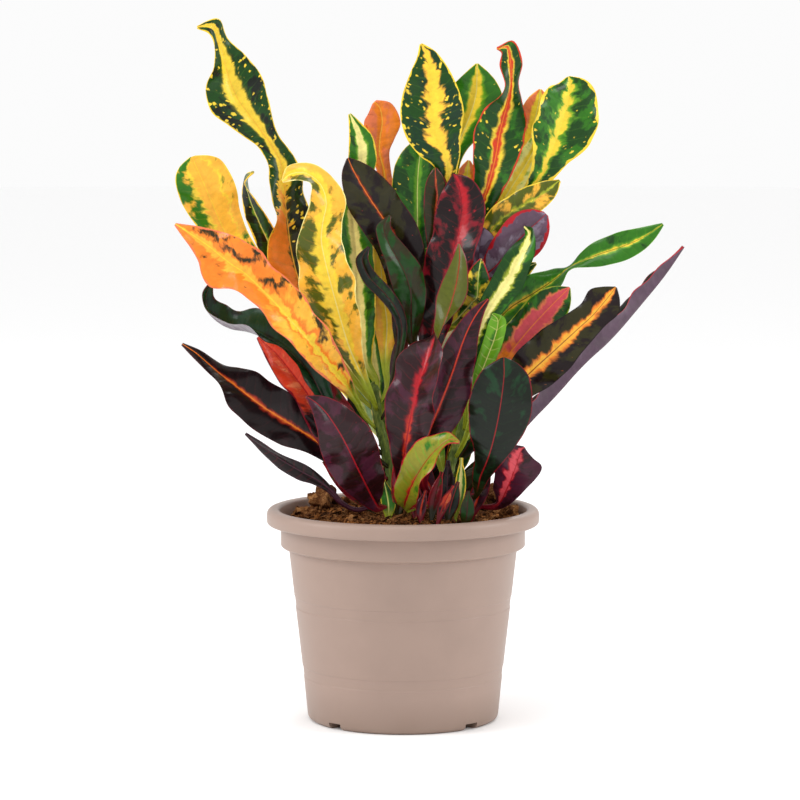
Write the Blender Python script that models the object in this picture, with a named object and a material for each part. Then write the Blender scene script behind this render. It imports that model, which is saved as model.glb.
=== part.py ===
"""Potted croton: a leafy houseplant with twisted, painted leaves in a plain moulded nursery pot.

Frame: origin on the floor in the middle of the pot's underside, +X to the plant's right, +Y to its
back, +Z up. Sizes in the tables are millimetres; MM turns them to metres.
"""

import math

import bmesh
import bpy
from mathutils import Vector

MM = 0.001

# Pot
POT_HEIGHT = 132.5
RIM_RADIUS = 85.0
LIP_HEIGHT = 9.8
COLLAR_RADIUS = 76.2
COLLAR_HEIGHT = 14.0
COLLAR_STEP = 1.4
LIP_ROUNDING = 4.5
LIP_UNDERCUT = 1.8
LIP_FALL = 3.6
WALL = 1.6
BODY_TOP_RADIUS = 71.4
BODY_FOOT_RADIUS = 59.4
FOOT_ROUNDING = 3.0
FLOOR_TOP = 5.6
RECESS_DEPTH = 4.0
RECESS_INNER = 22.0
RECESS_OUTER = 50.0
NOTCH_WIDTH = 10.0
NOTCH_START = 47.0
NOTCH_LENGTH = 20.0
DRAIN_RADIUS = 4.0
DRAIN_CENTRES = 36.0
DRAIN_SIDES = 16
NOTCH_COUNT = 4
POT_SIDES = 48

# Soil
CLEARANCE = 0.3
SOIL_GAP = 0.6
SOIL_EDGE_HEIGHT = 122.5
SOIL_MOUND = 7.0
SOIL_RISE_TO_BACK = 0.05
CRUMB_RELIEF = 1.1
SOIL_SIDES = 48
SOIL_RINGS = 7

# Stems: foot (x, y), radius, then the upper points (x, y, z)
STEM_FOOT = 105.0
STEM_STRAIGHT_TO = 132.0
STEM_SIDES = 10
STEMS = {
    "stem_left": ((-6, -8), 3.2, ((-8, -8, 158), (-15, -6, 186), (-18, -5, 207))),
    "stem_right": ((24, -4), 3.0, ((30, -3, 160), (38, -1, 186), (42, 1, 204))),
    "stem_centre": ((7, 13), 3.4, ((8, 14, 180), (13, 16, 235), (22, 18, 266), (27, 19, 288))),
    "stem_back": ((-10, 28), 3.0, ((-11, 32, 165), (-13, 36, 200), (-15, 40, 226))),
}

# Leaves
PETIOLE_HALF_WIDTH = 1.5
PETIOLE_LEAD = 4.0
TIP_HALF_WIDTH = 0.8
SEAT_GAP = 0.35
ROW_SPACING = 14.0
TAPER_WEIGHT = 1.2
FINE_STEPS = 12
FEWEST_ROWS = 7
MOST_ROWS = 22
BLADE_BOW = 0.05
BLADE_HALF_THICKNESS = 0.35
PETIOLE_PLUMP = 0.9
PETIOLE_PLUMP_FADE = 2.0
MIDRIB_LIFT = 0.15
KEEL_DROP = 0.5
KEEL_FADE = 0.7
FLAT_HALF_WIDTH = 6.0
TOP_QUARTER = 0.5
BOTTOM_QUARTER = 0.35

# Each leaf: name, stem it grows from, height on the stem, bearing around it in degrees (0 right,
# 90 back, 180 left, -90 front), fold of the two halves in degrees, side that its upper face looks
# to (-1 front, 1 back), and the midrib from petiole to tip as (x, y, z, half-width, roll).
LEAVES = (
    # Left side, from the top down
    ("leaf_left_tall", "stem_left", 199, 140, 20, -1, (
        (-40, 6, 230, 5, 0), (-58, 12, 256, 12, 5), (-68, 16, 284, 17, 5), (-73, 17, 312, 17, -45),
        (-76, 16, 345, 10, -15), (-84, 15, 361, 8, 15), (-94, 13, 374, 14, 0), (-105, 11, 391, 20.5, 0),
        (-111, 8, 410, 13, -30), (-115, 4, 423, 7, -40), (-117, -1, 430, 6.5, -10), (-122, -5, 431, 5, 0),
        (-126, -6, 430, 1.2, 0))),
    ("leaf_left_spoon", "stem_left", 196, 175, 8, -1, (
        (-42, -2, 222, 3, 0), (-65, 3, 249, 6, 0), (-87, 5, 274, 9, 0), (-104, 5, 293, 12, 0),
        (-113, 3, 310, 14, 0), (-120, 0, 327, 17.5, 0), (-126, -2, 341, 16.5, 0), (-129, -3, 348, 10, 0),
        (-130, -3, 351, 2, 0))),
    ("leaf_left_curled", "stem_left", 203, 110, 15, -1, (
        (-34, 18, 222, 3, 0), (-60, 27, 247, 6, 0), (-74, 28, 268, 8, 0), (-83, 27, 293, 8, 0),
        (-91, 24, 312, 7, 25), (-96, 18, 328, 6, 60), (-97, 12, 338, 4, 80), (-93, 8, 341, 1, 80))),
    ("leaf_left_orange", "stem_left", 184, -160, 24, -1, (
        (-31, -22, 205, 3, 0), (-46, -36, 226, 10, -5), (-67, -47, 252, 15, -15), (-93, -50, 279, 16, -15),
        (-106, -49, 289, 19, 25), (-119, -47, 299, 11, 5), (-138, -42, 311, 1, 0))),
    ("leaf_left_green_curl", "stem_left", 160, -125, 40, -1, (
        (-30, -23, 178, 3, 0), (-46, -33, 199, 6, -10), (-57, -35, 219, 12, -25), (-72, -33, 234, 16, -35),
        (-91, -30, 244, 16, -40), (-106, -26, 247, 14, -48), (-117, -25, 254, 10, -48),
        (-122, -24, 264, 7, -40), (-117, -23, 275, 1, -30))),
    ("leaf_left_red", "stem_left", 152, -150, 18, -1, (
        (-29, -19, 160, 3, 0), (-40, -24, 170, 6, 0), (-49, -25, 187, 10, -5), (-58, -22, 204, 10, -10),
        (-68, -16, 217, 11, -10), (-78, -10, 229, 8, 0), (-90, -4, 239, 1, 0))),
    ("leaf_left_crimson", "stem_left", 168, -170, 12, -1, (
        (-24, -10, 176, 4, 0), (-38, -13, 190, 9, 0), (-49, -11, 204, 10, 0), (-56, -8, 219, 8, 0),
        (-62, -5, 232, 1, 0))),
    ("leaf_left_maroon", "stem_left", 142, -165, 12, -1, (
        (-28, -14, 153, 2.5, 0), (-51, -18, 174, 9, 0), (-70, -19, 187, 15, 0), (-87, -20, 198, 16, 0),
        (-103, -20, 210, 14, -25), (-115, -19, 219, 8, -40), (-126, -18, 229, 4, -20), (-136, -16, 236, 1, 0))),
    ("leaf_low_left_twisted", "stem_left", 134, -140, 25, -1, (
        (-32, -25, 134, 1.6, 0), (-40, -27, 142, 1.8, 0), (-50, -27, 151, 3, 0), (-62, -26, 158, 6, 20),
        (-75, -24, 166, 6, 50), (-87, -22, 174, 4, 60), (-97, -20, 181, 1, 40))),
    ("leaf_front_purple", "stem_left", 136, -95, 14, -1, (
        (-14, -28, 135, 2, 0), (-20, -39, 146, 9, 0), (-28, -52, 164, 16, 0), (-37, -64, 184, 17, 0),
        (-48, -70, 201, 9, -5), (-58, -73, 209, 1, -10))),
    ("leaf_curly_yellow", "stem_left", 196, -95, 16, -1, (
        (-26, -18, 218, 4, 0), (-33, -22, 235, 9, 15), (-39, -24, 256, 17, 30), (-44, -25, 275, 20, 35),
        (-48, -25, 291, 18, 30), (-50, -25, 306, 13, 5), (-47, -23, 321, 12, -20), (-51, -19, 334, 11, -35),
        (-61, -16, 341, 9, -30), (-69, -15, 340, 6, -20), (-74, -15, 336, 1, 0))),
    ("leaf_tall_striped", "stem_left", 204, 60, 10, -1, (
        (-23, 6, 222, 4, 0), (-26, 6, 243, 9, 0), (-28, 7, 268, 11, 0), (-29, 7, 292, 11, 0),
        (-31, 7, 314, 10, 0), (-27, 8, 336, 8, 0), (-25, 7, 355, 9, 0), (-29, 5, 368, 5, 0),
        (-33, 3, 377, 1, 0))),
    ("leaf_golden", "stem_left", 200, 15, 10, -1, (
        (-11, 6, 224, 3, 0), (-10, 11, 246, 8, 0), (-12, 12, 263, 9, 0), (-14, 12, 285, 7, 0),
        (-15, 11, 299, 1, 0))),
    ("leaf_dark_arm", "stem_left", 190, -35, 25, -1, (
        (-6, -14, 215, 2, 0), (-1, -19, 240, 3, 0), (-2, -21, 253, 4, 0), (-9, -22, 265, 5, 0),
        (-17, -22, 273, 5, 0), (-23, -21, 281, 5, 0), (-25, -20, 289, 4, 0), (-21, -18, 296, 1, 0))),
    # Middle
    ("leaf_dark_centre", "stem_centre", 212, -150, 12, -1, (
        (-1, 8, 234, 4, 0), (2, 5, 256, 10, 0), (2, 3, 277, 13, 0), (-3, 2, 297, 15, 0),
        (-12, 1, 312, 16, 0), (-22, 0, 327, 15, 0), (-30, -2, 341, 10, 0), (-34, -3, 350, 1, 0))),
    ("leaf_dark_curly", "stem_centre", 221, -100, 18, -1, (
        (6, 0, 236, 3, 0), (5, -7, 250, 7, 0), (5, -12, 266, 10, 5), (1, -14, 280, 11, 0),
        (-4, -15, 289, 9, -10), (-9, -16, 298, 7, -10), (-12, -14, 307, 5, 0), (-8, -12, 315, 1, 20))),
    ("leaf_black_red", "stem_centre", 198, -70, 14, -1, (
        (15, 3, 218, 3, 0), (18, -3, 240, 9, 10), (23, -7, 262, 14, 25), (29, -9, 285, 16, 25),
        (34, -9, 304, 16, 12), (36, -7, 322, 15, 0), (34, -4, 333, 10, 0), (31, -2, 340, 1, 0))),
    ("leaf_front_centre", "stem_left", 138, -60, 18, -1, (
        (0, -26, 146, 3, 0), (0, -40, 163, 6, 0), (4, -52, 190, 15, 10), (9, -58, 213, 18, 30),
        (16, -58, 232, 17, 42), (23, -54, 249, 9, 95), (30, -48, 267, 10, 155), (34, -43, 286, 6, 170),
        (34, -39, 299, 1, 175))),
    ("leaf_front_pair", "stem_right", 137, -120, 14, -1, (
        (13, -22, 148, 2.5, 0), (13, -30, 165, 6, 0), (15, -36, 181, 12, -10), (21, -39, 197, 15, -20),
        (29, -40, 218, 14, -20), (37, -39, 241, 9, -15), (44, -37, 255, 5, -10), (52, -35, 265, 1, 0))),
    ("leaf_front_yellow", "stem_right", 134, -150, 26, -1, (
        (2, -33, 136, 2.5, 0), (4, -46, 148, 10, 15), (10, -56, 161, 13, 30), (18, -63, 173, 12, 35),
        (28, -68, 182, 6, 30), (34, -69, 181, 1, 20))),
    ("leaf_front_oval", "stem_right", 141, -75, 8, -1, (
        (44, -22, 142, 2, 0), (47, -36, 155, 5, 0), (52, -46, 169, 9, 0), (56, -52, 185, 16, 0),
        (59, -56, 202, 19.5, 0), (61, -57, 219, 16, 0), (61, -56, 227, 9, 0), (61, -55, 231, 1.5, 0))),
    ("leaf_low_right", "stem_right", 134, -30, 10, -1, (
        (56, -18, 135, 2, 0), (63, -30, 146, 8, 0), (67, -38, 157, 12, 0), (70, -42, 167, 16, -10),
        (72, -44, 173, 9, -10), (74, -45, 175, 1.5, 0))),
    # Right side
    ("leaf_right_long_purple", "stem_right", 150, 10, 45, -1, (
        (46, 5, 155, 3, 30), (61, 7, 163, 7, 75), (76, 8, 182, 11, 88), (94, 9, 201, 12, 88),
        (112, 10, 221, 12.5, 84), (130, 10, 238, 13, 78), (148, 10, 259, 11, 76), (163, 8, 278, 8, 90),
        (174, 6, 295, 1, 90))),
    ("leaf_right_olive", "stem_right", 174, -25, 10, -1, (
        (50, -12, 190, 3, 0), (64, -16, 203, 8, 0), (78, -18, 218, 14, 0), (92, -19, 231, 15.5, 0),
        (106, -19, 244, 12, 0), (116, -18, 253, 10.5, 0), (123, -17, 261, 12, 0), (128, -16, 267, 7, 0),
        (131, -15, 271, 1, 0))),
    ("leaf_right_pink", "stem_right", 186, 5, 8, -1, (
        (52, -3, 205, 5, 0), (64, -4, 226, 11, 0), (79, -5, 245, 13, 0), (92, -5, 259, 12, 0),
        (100, -5, 267, 6, 0), (103, -4, 270, 1, 0))),
    ("leaf_right_long_green", "stem_right", 198, 60, 10, -1, (
        (47, 8, 222, 4, 0), (57, 7, 245, 9, 0), (66, 6, 256, 11, 0), (80, 5, 265, 12, 0),
        (94, 4, 274, 9, 20), (103, 3, 281, 4, 60), (112, 3, 286, 6, 25), (124, 3, 291, 9, 0),
        (139, 3, 296, 9, 0), (151, 3, 302, 6, 0), (161, 3, 309, 1, 0))),
    ("leaf_right_twisted", "stem_right", 183, -70, 14, -1, (
        (38, -16, 206, 3, 0), (40, -22, 228, 6, 0), (46, -24, 245, 8, -10), (54, -24, 259, 8, 10),
        (63, -23, 273, 10, -10), (71, -22, 288, 9, 10), (77, -21, 299, 7, 35), (78, -17, 307, 4, 70),
        (75, -14, 308, 1, 80))),
    ("leaf_right_bright", "stem_right", 166, -60, 18, -1, (
        (43, -20, 193, 2, 0), (45, -28, 210, 3, 0), (50, -33, 225, 5.5, 0), (55, -35, 238, 6, 10),
        (58, -34, 248, 7, 20), (58, -32, 255, 4, 40), (55, -31, 256, 1, 50))),
    ("leaf_grey_spoon", "stem_centre", 256, -25, 8, -1, (
        (39, 12, 266, 3, 0), (45, 9, 277, 5, 0), (47, 5, 290, 9, 0), (48, 4, 299, 10, 0),
        (49, 4, 305, 5, 0), (49, 4, 307, 1.5, 0))),
    ("leaf_small_oval", "stem_right", 190, 110, 10, -1, (
        (54, 18, 235, 3, 0), (66, 18, 262, 4, 0), (73, 16, 277, 5, 0), (79, 14, 282, 4, 0),
        (83, 13, 284, 1, 0))),
    ("leaf_green_blotched", "stem_centre", 236, -45, 12, -1, (
        (31, 8, 247, 4, 0), (42, 4, 259, 7, 0), (46, -12, 266, 8, 0), (46, -20, 276, 8, 0),
        (47, -23, 285, 4, 0), (48, -23, 289, 1, 0))),
    ("leaf_purple_red_margin", "stem_centre", 268, -50, 20, -1, (
        (40, 4, 273, 3, 0), (50, 0, 277, 6, 0), (58, -5, 284, 10, -10), (66, -8, 294, 14, -18),
        (76, -10, 305, 15, -18), (84, -11, 312, 10, -10), (88, -11, 316, 2, 0))),
    # Top
    ("leaf_top_broad", "stem_centre", 284, -110, 10, -1, (
        (28, 9, 312, 3, 0), (28, 7, 336, 4.5, 0), (26, 4, 350, 10, 0), (20, 3, 362, 16.5, 0),
        (18, 2, 376, 20, 0), (17, 2, 391, 17.5, 0), (16, 1, 404, 12, 0), (14, 1, 414, 6, 0),
        (11, 0, 420, 1, 0))),
    ("leaf_top_behind", "stem_centre", 280, 100, 12, -1, (
        (30, 25, 315, 3, 0), (31, 24, 342, 4, 0), (34, 23, 357, 7, 0), (40, 22, 371, 13, 0),
        (45, 22, 386, 18, 0), (46, 21, 398, 12, 0), (46, 20, 408, 1, 0))),
    ("leaf_top_tall", "stem_centre", 283, -30, 10, -1, (
        (40, 14, 302, 3, 0), (47, 11, 316, 7, 0), (52, 7, 330, 9.5, 0), (57, 4, 349, 14, 0),
        (60, 3, 367, 16, -5), (64, 3, 384, 12, -45), (66, 3, 398, 8, -55), (66, 2, 411, 7.5, 0),
        (63, -1, 419, 5, 0), (58, -4, 417, 1, 0))),
    ("leaf_top_round", "stem_centre", 276, 15, 14, -1, (
        (46, 17, 292, 3, 0), (62, 13, 309, 3.5, 0), (77, 10, 325, 5, 0), (86, 9, 340, 8, -15),
        (92, 8, 354, 15, -25), (97, 8, 368, 22, -32), (101, 8, 382, 22.5, -32), (103, 8, 392, 17, -28),
        (103, 8, 397, 9, -20), (102, 8, 400, 1.5, -20))),
    ("leaf_top_bronze", "stem_centre", 250, 70, 10, -1, (
        (50, 32, 302, 4, 0), (68, 34, 332, 9, 0), (77, 34, 351, 11, 0), (82, 33, 370, 11, 0),
        (85, 32, 384, 8, 0), (86, 32, 392, 1, 0))),
    ("leaf_top_pale", "stem_centre", 258, 30, 10, -1, (
        (44, 25, 290, 3, 0), (53, 23, 307, 6, 0), (60, 22, 318, 9, 0), (69, 21, 333, 9, 0),
        (79, 21, 349, 8, 0), (84, 21, 360, 5, 0), (87, 21, 368, 1, 0))),
    ("leaf_olive_yellow", "stem_centre", 246, -5, 8, -1, (
        (42, 14, 278, 3, 0), (51, 7, 298, 6, 0), (59, 3, 310, 9, 0), (70, 1, 318, 10, 0),
        (82, 1, 325, 9, 0), (91, 2, 331, 6, 0), (97, 2, 336, 1, 0))),
    ("leaf_top_orange", "stem_centre", 228, 130, 8, -1, (
        (-1, 25, 258, 3, 0), (-7, 30, 291, 6, 0), (-10, 31, 320, 6, 0), (-12, 31, 341, 4.5, 0),
        (-15, 31, 355, 7, 0), (-13, 31, 370, 11.5, 0), (-14, 31, 379, 9, 0), (-18, 30, 384, 2, 0))),
    ("leaf_green_striped", "stem_centre", 238, -130, 8, -1, (
        (8, 10, 262, 4, 0), (9, 11, 290, 10, 0), (9, 12, 312, 14, 0), (9, 12, 332, 16, 0),
        (10, 12, 347, 14, 0), (12, 12, 358, 7, 0), (13, 12, 364, 1, 0))),
    ("leaf_dark_olive", "stem_centre", 250, -105, 8, -1, (
        (19, 5, 275, 3, 0), (20, 4, 295, 5, 0), (20, 2, 312, 7, 0), (21, 1, 328, 8, 0),
        (20, 0, 338, 5, 0), (20, -1, 344, 1, 0))),
    ("leaf_pink_tip", "stem_centre", 264, 60, 8, -1, (
        (36, 21, 300, 5, 0), (39, 20, 325, 7, 0), (40, 19, 340, 6, 0), (41, 19, 348, 1, 0))),
    # Back
    ("leaf_back_low_left", "stem_back", 140, 125, 14, 1, (
        (-28, 54, 152, 5, 0), (-40, 70, 168, 12, 0), (-50, 82, 186, 13, 0), (-56, 90, 202, 1, 0))),
    ("leaf_back_left", "stem_back", 172, 140, 14, 1, (
        (-26, 54, 192, 6, 0), (-36, 72, 216, 15, 0), (-44, 86, 242, 15, 0), (-50, 94, 268, 1, 0))),
    ("leaf_back_middle", "stem_back", 190, 85, 14, 1, (
        (-10, 58, 214, 7, 0), (-8, 78, 244, 17, 10), (-6, 92, 274, 15, 0), (-4, 98, 300, 1, 0))),
    ("leaf_back_high_left", "stem_back", 212, 165, 12, 1, (
        (-36, 50, 238, 6, 0), (-50, 60, 266, 13, 0), (-58, 66, 292, 11, 0), (-62, 66, 314, 1, 0))),
    ("leaf_back_high", "stem_back", 222, 60, 12, 1, (
        (-12, 52, 256, 7, 0), (-16, 62, 286, 14, 0), (-20, 66, 312, 10, 0), (-22, 66, 330, 1, 0))),
    ("leaf_back_right", "stem_centre", 196, 75, 14, 1, (
        (18, 44, 220, 7, 0), (32, 66, 246, 16, 0), (42, 80, 270, 14, 0), (50, 88, 292, 1, 0))),
    ("leaf_back_high_right", "stem_centre", 242, 95, 12, 1, (
        (20, 42, 272, 7, 0), (26, 56, 300, 14, 0), (30, 62, 322, 10, 0), (32, 62, 338, 1, 0))),
    ("leaf_back_low_right", "stem_right", 160, 80, 14, 1, (
        (44, 26, 176, 5, 0), (60, 48, 196, 13, 0), (72, 64, 220, 13, 0), (82, 74, 244, 1, 0))),
)


def empty_scene():
    for item in list(bpy.data.objects):
        bpy.data.objects.remove(item, do_unlink=True)


def plain_material(name, colour, roughness):
    material = bpy.data.materials.new(name)
    material.use_nodes = True
    shader = material.node_tree.nodes["Principled BSDF"]
    shader.inputs["Base Color"].default_value = (*colour, 1.0)
    shader.inputs["Roughness"].default_value = roughness
    shader.inputs["Metallic"].default_value = 0.0
    return material


def add_object(name, mesh_builder, material):
    mesh = bpy.data.meshes.new(name)
    mesh_builder.to_mesh(mesh)
    mesh_builder.free()
    mesh.materials.append(material)
    made = bpy.data.objects.new(name, mesh)
    bpy.context.collection.objects.link(made)
    return made


def bridge(builder, rings):
    """Joins neighbouring closed rings of vertices with quads, in order."""
    for lower, upper in zip(rings, rings[1:]):
        count = len(lower)
        for i in range(count):
            j = (i + 1) % count
            builder.faces.new((lower[i], lower[j], upper[j], upper[i]))


def circle(builder, radius, height, sides, centre=(0.0, 0.0)):
    ring = []
    for i in range(sides):
        turn = 2 * math.pi * i / sides
        place = (centre[0] + radius * math.cos(turn), centre[1] + radius * math.sin(turn), height)
        ring.append(builder.verts.new(Vector(place) * MM))
    return ring


# ---------------------------------------------------------------- pot

def wall_radius(height):
    """Outer radius of the tapered body at a height."""
    share = (height - FOOT_ROUNDING) / (POT_HEIGHT - LIP_HEIGHT - COLLAR_HEIGHT - FOOT_ROUNDING)
    return BODY_FOOT_RADIUS + (BODY_TOP_RADIUS - BODY_FOOT_RADIUS) * share


def pot_profile():
    """Closed outline (radius, height), up the outside and down the inside."""
    lip_foot = POT_HEIGHT - LIP_HEIGHT
    collar_foot = lip_foot - COLLAR_HEIGHT
    body_top = collar_foot - COLLAR_STEP
    outside = [
        (RECESS_OUTER, 0.0),
        (BODY_FOOT_RADIUS - FOOT_ROUNDING, 0.0),
        (BODY_FOOT_RADIUS, FOOT_ROUNDING),
        (wall_radius(body_top), body_top),
        (COLLAR_RADIUS - COLLAR_STEP, collar_foot),
        (COLLAR_RADIUS, collar_foot + COLLAR_STEP),
        (COLLAR_RADIUS, lip_foot),
        (RIM_RADIUS - LIP_UNDERCUT, lip_foot),
        (RIM_RADIUS, lip_foot + LIP_UNDERCUT),
        (RIM_RADIUS, POT_HEIGHT - LIP_ROUNDING),
        (RIM_RADIUS - 0.3 * LIP_ROUNDING, POT_HEIGHT - 0.3 * LIP_ROUNDING),
        (RIM_RADIUS - LIP_ROUNDING, POT_HEIGHT),
    ]
    inside = [
        (COLLAR_RADIUS, POT_HEIGHT - LIP_FALL),
        (COLLAR_RADIUS - WALL, lip_foot),
        (COLLAR_RADIUS - WALL - COLLAR_STEP, collar_foot),
        (wall_radius(body_top) - WALL, body_top),
        (wall_radius(FLOOR_TOP) - WALL, FLOOR_TOP),
    ]
    return outside + inside


def make_pot(material):
    builder = bmesh.new()
    rings = [circle(builder, r, z, POT_SIDES) for r, z in pot_profile()]
    bridge(builder, rings)
    builder.faces.new(rings[-1])
    recess = [circle(builder, RECESS_OUTER, RECESS_DEPTH, POT_SIDES)]
    recess.append(circle(builder, RECESS_INNER, RECESS_DEPTH, POT_SIDES))
    recess.append(circle(builder, RECESS_INNER, 0.0, POT_SIDES))
    bridge(builder, [rings[0]] + recess)
    builder.faces.new(recess[-1])
    bmesh.ops.recalc_face_normals(builder, faces=builder.faces)
    pot = add_object("pot", builder, material)
    pot.data.shade_smooth()
    for i in range(NOTCH_COUNT):
        cut_with(pot, notch_cutter(i))
        cut_with(pot, drain_cutter(i))
    return pot


def notch_cutter(index):
    """A bar through the foot ring, one for each drain."""
    turn = 2 * math.pi * (index + 0.5) / NOTCH_COUNT
    along = Vector((math.cos(turn), math.sin(turn), 0))
    across = Vector((-math.sin(turn), math.cos(turn), 0))
    builder = bmesh.new()
    bmesh.ops.create_cube(builder, size=1.0)
    for vertex in builder.verts:
        x, y, z = vertex.co
        reach = NOTCH_START + (x + 0.5) * NOTCH_LENGTH
        place = along * reach + across * (y * NOTCH_WIDTH) + Vector((0, 0, z * 2 * RECESS_DEPTH))
        vertex.co = place * MM
    return add_object(f"notch_cutter_{index}", builder, bpy.data.materials[0])


def drain_cutter(index):
    turn = 2 * math.pi * (index + 0.5) / NOTCH_COUNT
    centre = (DRAIN_CENTRES * math.cos(turn), DRAIN_CENTRES * math.sin(turn))
    builder = bmesh.new()
    rings = [circle(builder, DRAIN_RADIUS, z, DRAIN_SIDES, centre) for z in (-2.0, FLOOR_TOP + 2.0)]
    bridge(builder, rings)
    builder.faces.new(list(reversed(rings[0])))
    builder.faces.new(rings[1])
    bmesh.ops.recalc_face_normals(builder, faces=builder.faces)
    return add_object(f"drain_cutter_{index}", builder, bpy.data.materials[0])


def cut_with(target, cutter):
    cutter.hide_render = True
    cutter.display_type = "WIRE"
    cut = target.modifiers.new(cutter.name, "BOOLEAN")
    cut.operation = "DIFFERENCE"
    cut.solver = "EXACT"
    cut.object = cutter


# ---------------------------------------------------------------- soil

def soil_height(x, y):
    """A low mound, higher in the middle and towards the back, broken up by crumbs."""
    reach = min(1.0, math.hypot(x, y) / COLLAR_RADIUS)
    mound = SOIL_MOUND * (1 - reach ** 2) + SOIL_RISE_TO_BACK * y * reach
    crumbs = math.sin(0.31 * x + 1.3) * math.cos(0.27 * y - 0.4) + 0.6 * math.sin(0.53 * x - 0.47 * y)
    return SOIL_EDGE_HEIGHT + mound + CRUMB_RELIEF * crumbs * (1 - reach ** 6)


def make_soil(material):
    builder = bmesh.new()
    collar_foot = POT_HEIGHT - LIP_HEIGHT - COLLAR_HEIGHT
    body_top = collar_foot - COLLAR_STEP
    top_radius = COLLAR_RADIUS - WALL - COLLAR_STEP - SOIL_GAP
    sides = [(wall_radius(FLOOR_TOP) - WALL - SOIL_GAP, FLOOR_TOP + CLEARANCE)]
    sides.append((wall_radius(body_top) - WALL - SOIL_GAP, body_top - CLEARANCE))
    sides.append((top_radius, collar_foot + COLLAR_STEP))
    rings = [circle(builder, r, z, SOIL_SIDES) for r, z in sides]
    for step in range(SOIL_RINGS):
        radius = top_radius * (1 - step / SOIL_RINGS)
        ring = circle(builder, radius, 0.0, SOIL_SIDES)
        for vertex in ring:
            vertex.co.z = soil_height(vertex.co.x / MM, vertex.co.y / MM) * MM
        rings.append(ring)
    bridge(builder, rings)
    builder.faces.new(list(reversed(rings[0])))
    centre = builder.verts.new((0, 0, soil_height(0, 0) * MM))
    last = rings[-1]
    for i, vertex in enumerate(last):
        builder.faces.new((vertex, last[(i + 1) % SOIL_SIDES], centre))
    bmesh.ops.recalc_face_normals(builder, faces=builder.faces)
    soil = add_object("soil", builder, material)
    for name, (foot, radius, _) in STEMS.items():
        cut_with(soil, socket_cutter(name, foot, radius))
    return soil


def socket_cutter(name, foot, radius):
    """The hole that a stem stands in, with clearance all round."""
    builder = bmesh.new()
    low = STEM_FOOT - CLEARANCE
    rings = [circle(builder, radius + CLEARANCE, z, STEM_SIDES, foot) for z in (low, POT_HEIGHT + 20)]
    bridge(builder, rings)
    builder.faces.new(list(reversed(rings[0])))
    builder.faces.new(rings[1])
    bmesh.ops.recalc_face_normals(builder, faces=builder.faces)
    return add_object(f"socket_cutter_{name}", builder, bpy.data.materials[0])


# ---------------------------------------------------------------- stems

def stem_axis(name):
    foot, _, upper = STEMS[name]
    start = [(foot[0], foot[1], STEM_FOOT), (foot[0], foot[1], STEM_STRAIGHT_TO)]
    return [Vector(p) for p in start + list(upper)]


def stem_centre_at(name, height):
    """Point of the stem's axis at a height."""
    axis = stem_axis(name)
    for low, high in zip(axis, axis[1:]):
        if height <= high.z:
            return low.lerp(high, (height - low.z) / (high.z - low.z))
    return axis[-1]


def make_stem(name, material):
    """A round stem of level rings, a little thinner at each point upwards, with a blunt top."""
    radius = STEMS[name][1]
    builder = bmesh.new()
    rings = []
    for point in stem_axis(name):
        rings.append(circle(builder, radius, point.z, STEM_SIDES, (point.x, point.y)))
    top = stem_axis(name)[-1]
    rings.append(circle(builder, radius * 0.5, top.z + 3, STEM_SIDES, (top.x, top.y)))
    bridge(builder, rings)
    builder.faces.new(list(reversed(rings[0])))
    builder.faces.new(rings[-1])
    bmesh.ops.recalc_face_normals(builder, faces=builder.faces)
    stem = add_object(name, builder, material)
    stem.data.shade_smooth()
    return stem


# ---------------------------------------------------------------- leaves

def smooth_value(values, place):
    """Catmull-Rom value of a row of numbers or vectors at a fractional index."""
    index = min(int(place), len(values) - 2)
    t = place - index
    before = values[max(index - 1, 0)]
    start = values[index]
    end = values[index + 1]
    after = values[min(index + 2, len(values) - 1)]
    slope_in = (end - before) * 0.5
    slope_out = (after - start) * 0.5
    cubic = 2 * t ** 3 - 3 * t ** 2
    return (start * (cubic + 1) + end * (-cubic) + slope_in * (t ** 3 - 2 * t ** 2 + t)
            + slope_out * (t ** 3 - t ** 2))


def leaf_rows(points, widths, rolls):
    """Rows along the midrib, closer where the blade widens or narrows fast: (point, half-width, roll)."""
    fine = FINE_STEPS * (len(points) - 1)
    places = [i * (len(points) - 1) / fine for i in range(fine + 1)]
    path = [smooth_value(points, place) for place in places]
    spread = [smooth_value(widths, place) for place in places]
    reach = [0.0]
    for i in range(fine):
        step = (path[i + 1] - path[i]).length + TAPER_WEIGHT * abs(spread[i + 1] - spread[i])
        reach.append(reach[-1] + step)
    count = max(FEWEST_ROWS, min(MOST_ROWS, round(reach[-1] / ROW_SPACING) + 2))
    rows = []
    for row in range(count):
        goal = reach[-1] * row / (count - 1)
        k = next(i for i in range(1, len(reach)) if reach[i] >= goal - 1e-9)
        share = (goal - reach[k - 1]) / (reach[k] - reach[k - 1])
        place = places[k - 1] + share * (places[k] - places[k - 1])
        half_width = max(TIP_HALF_WIDTH, smooth_value(widths, place))
        rows.append((smooth_value(points, place), half_width, smooth_value(rolls, place)))
    return rows


def leaf_ring(centre, side, face, half_width, fold, share):
    """Eight points around a leaf: left edge, three on the upper face, right edge, three below."""
    plump = BLADE_HALF_THICKNESS + PETIOLE_PLUMP * math.exp(-half_width / PETIOLE_PLUMP_FADE)
    plump = min(0.6 * half_width, plump)
    rib = plump + MIDRIB_LIFT
    keel = min(half_width, plump + KEEL_DROP * (1 - KEEL_FADE * share))

    def at(across, lift):
        spread = abs(across)
        bow = BLADE_BOW * half_width * 4 * spread * (1 - spread)
        sideways = side * (across * half_width * math.cos(fold))
        raised = face * (spread * half_width * math.sin(fold) + bow + lift)
        return centre + sideways + raised

    return [at(-1, 0), at(-TOP_QUARTER, plump), at(0, rib), at(TOP_QUARTER, plump),
            at(1, 0), at(BOTTOM_QUARTER, -plump), at(0, -keel), at(-BOTTOM_QUARTER, -plump)]


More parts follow.
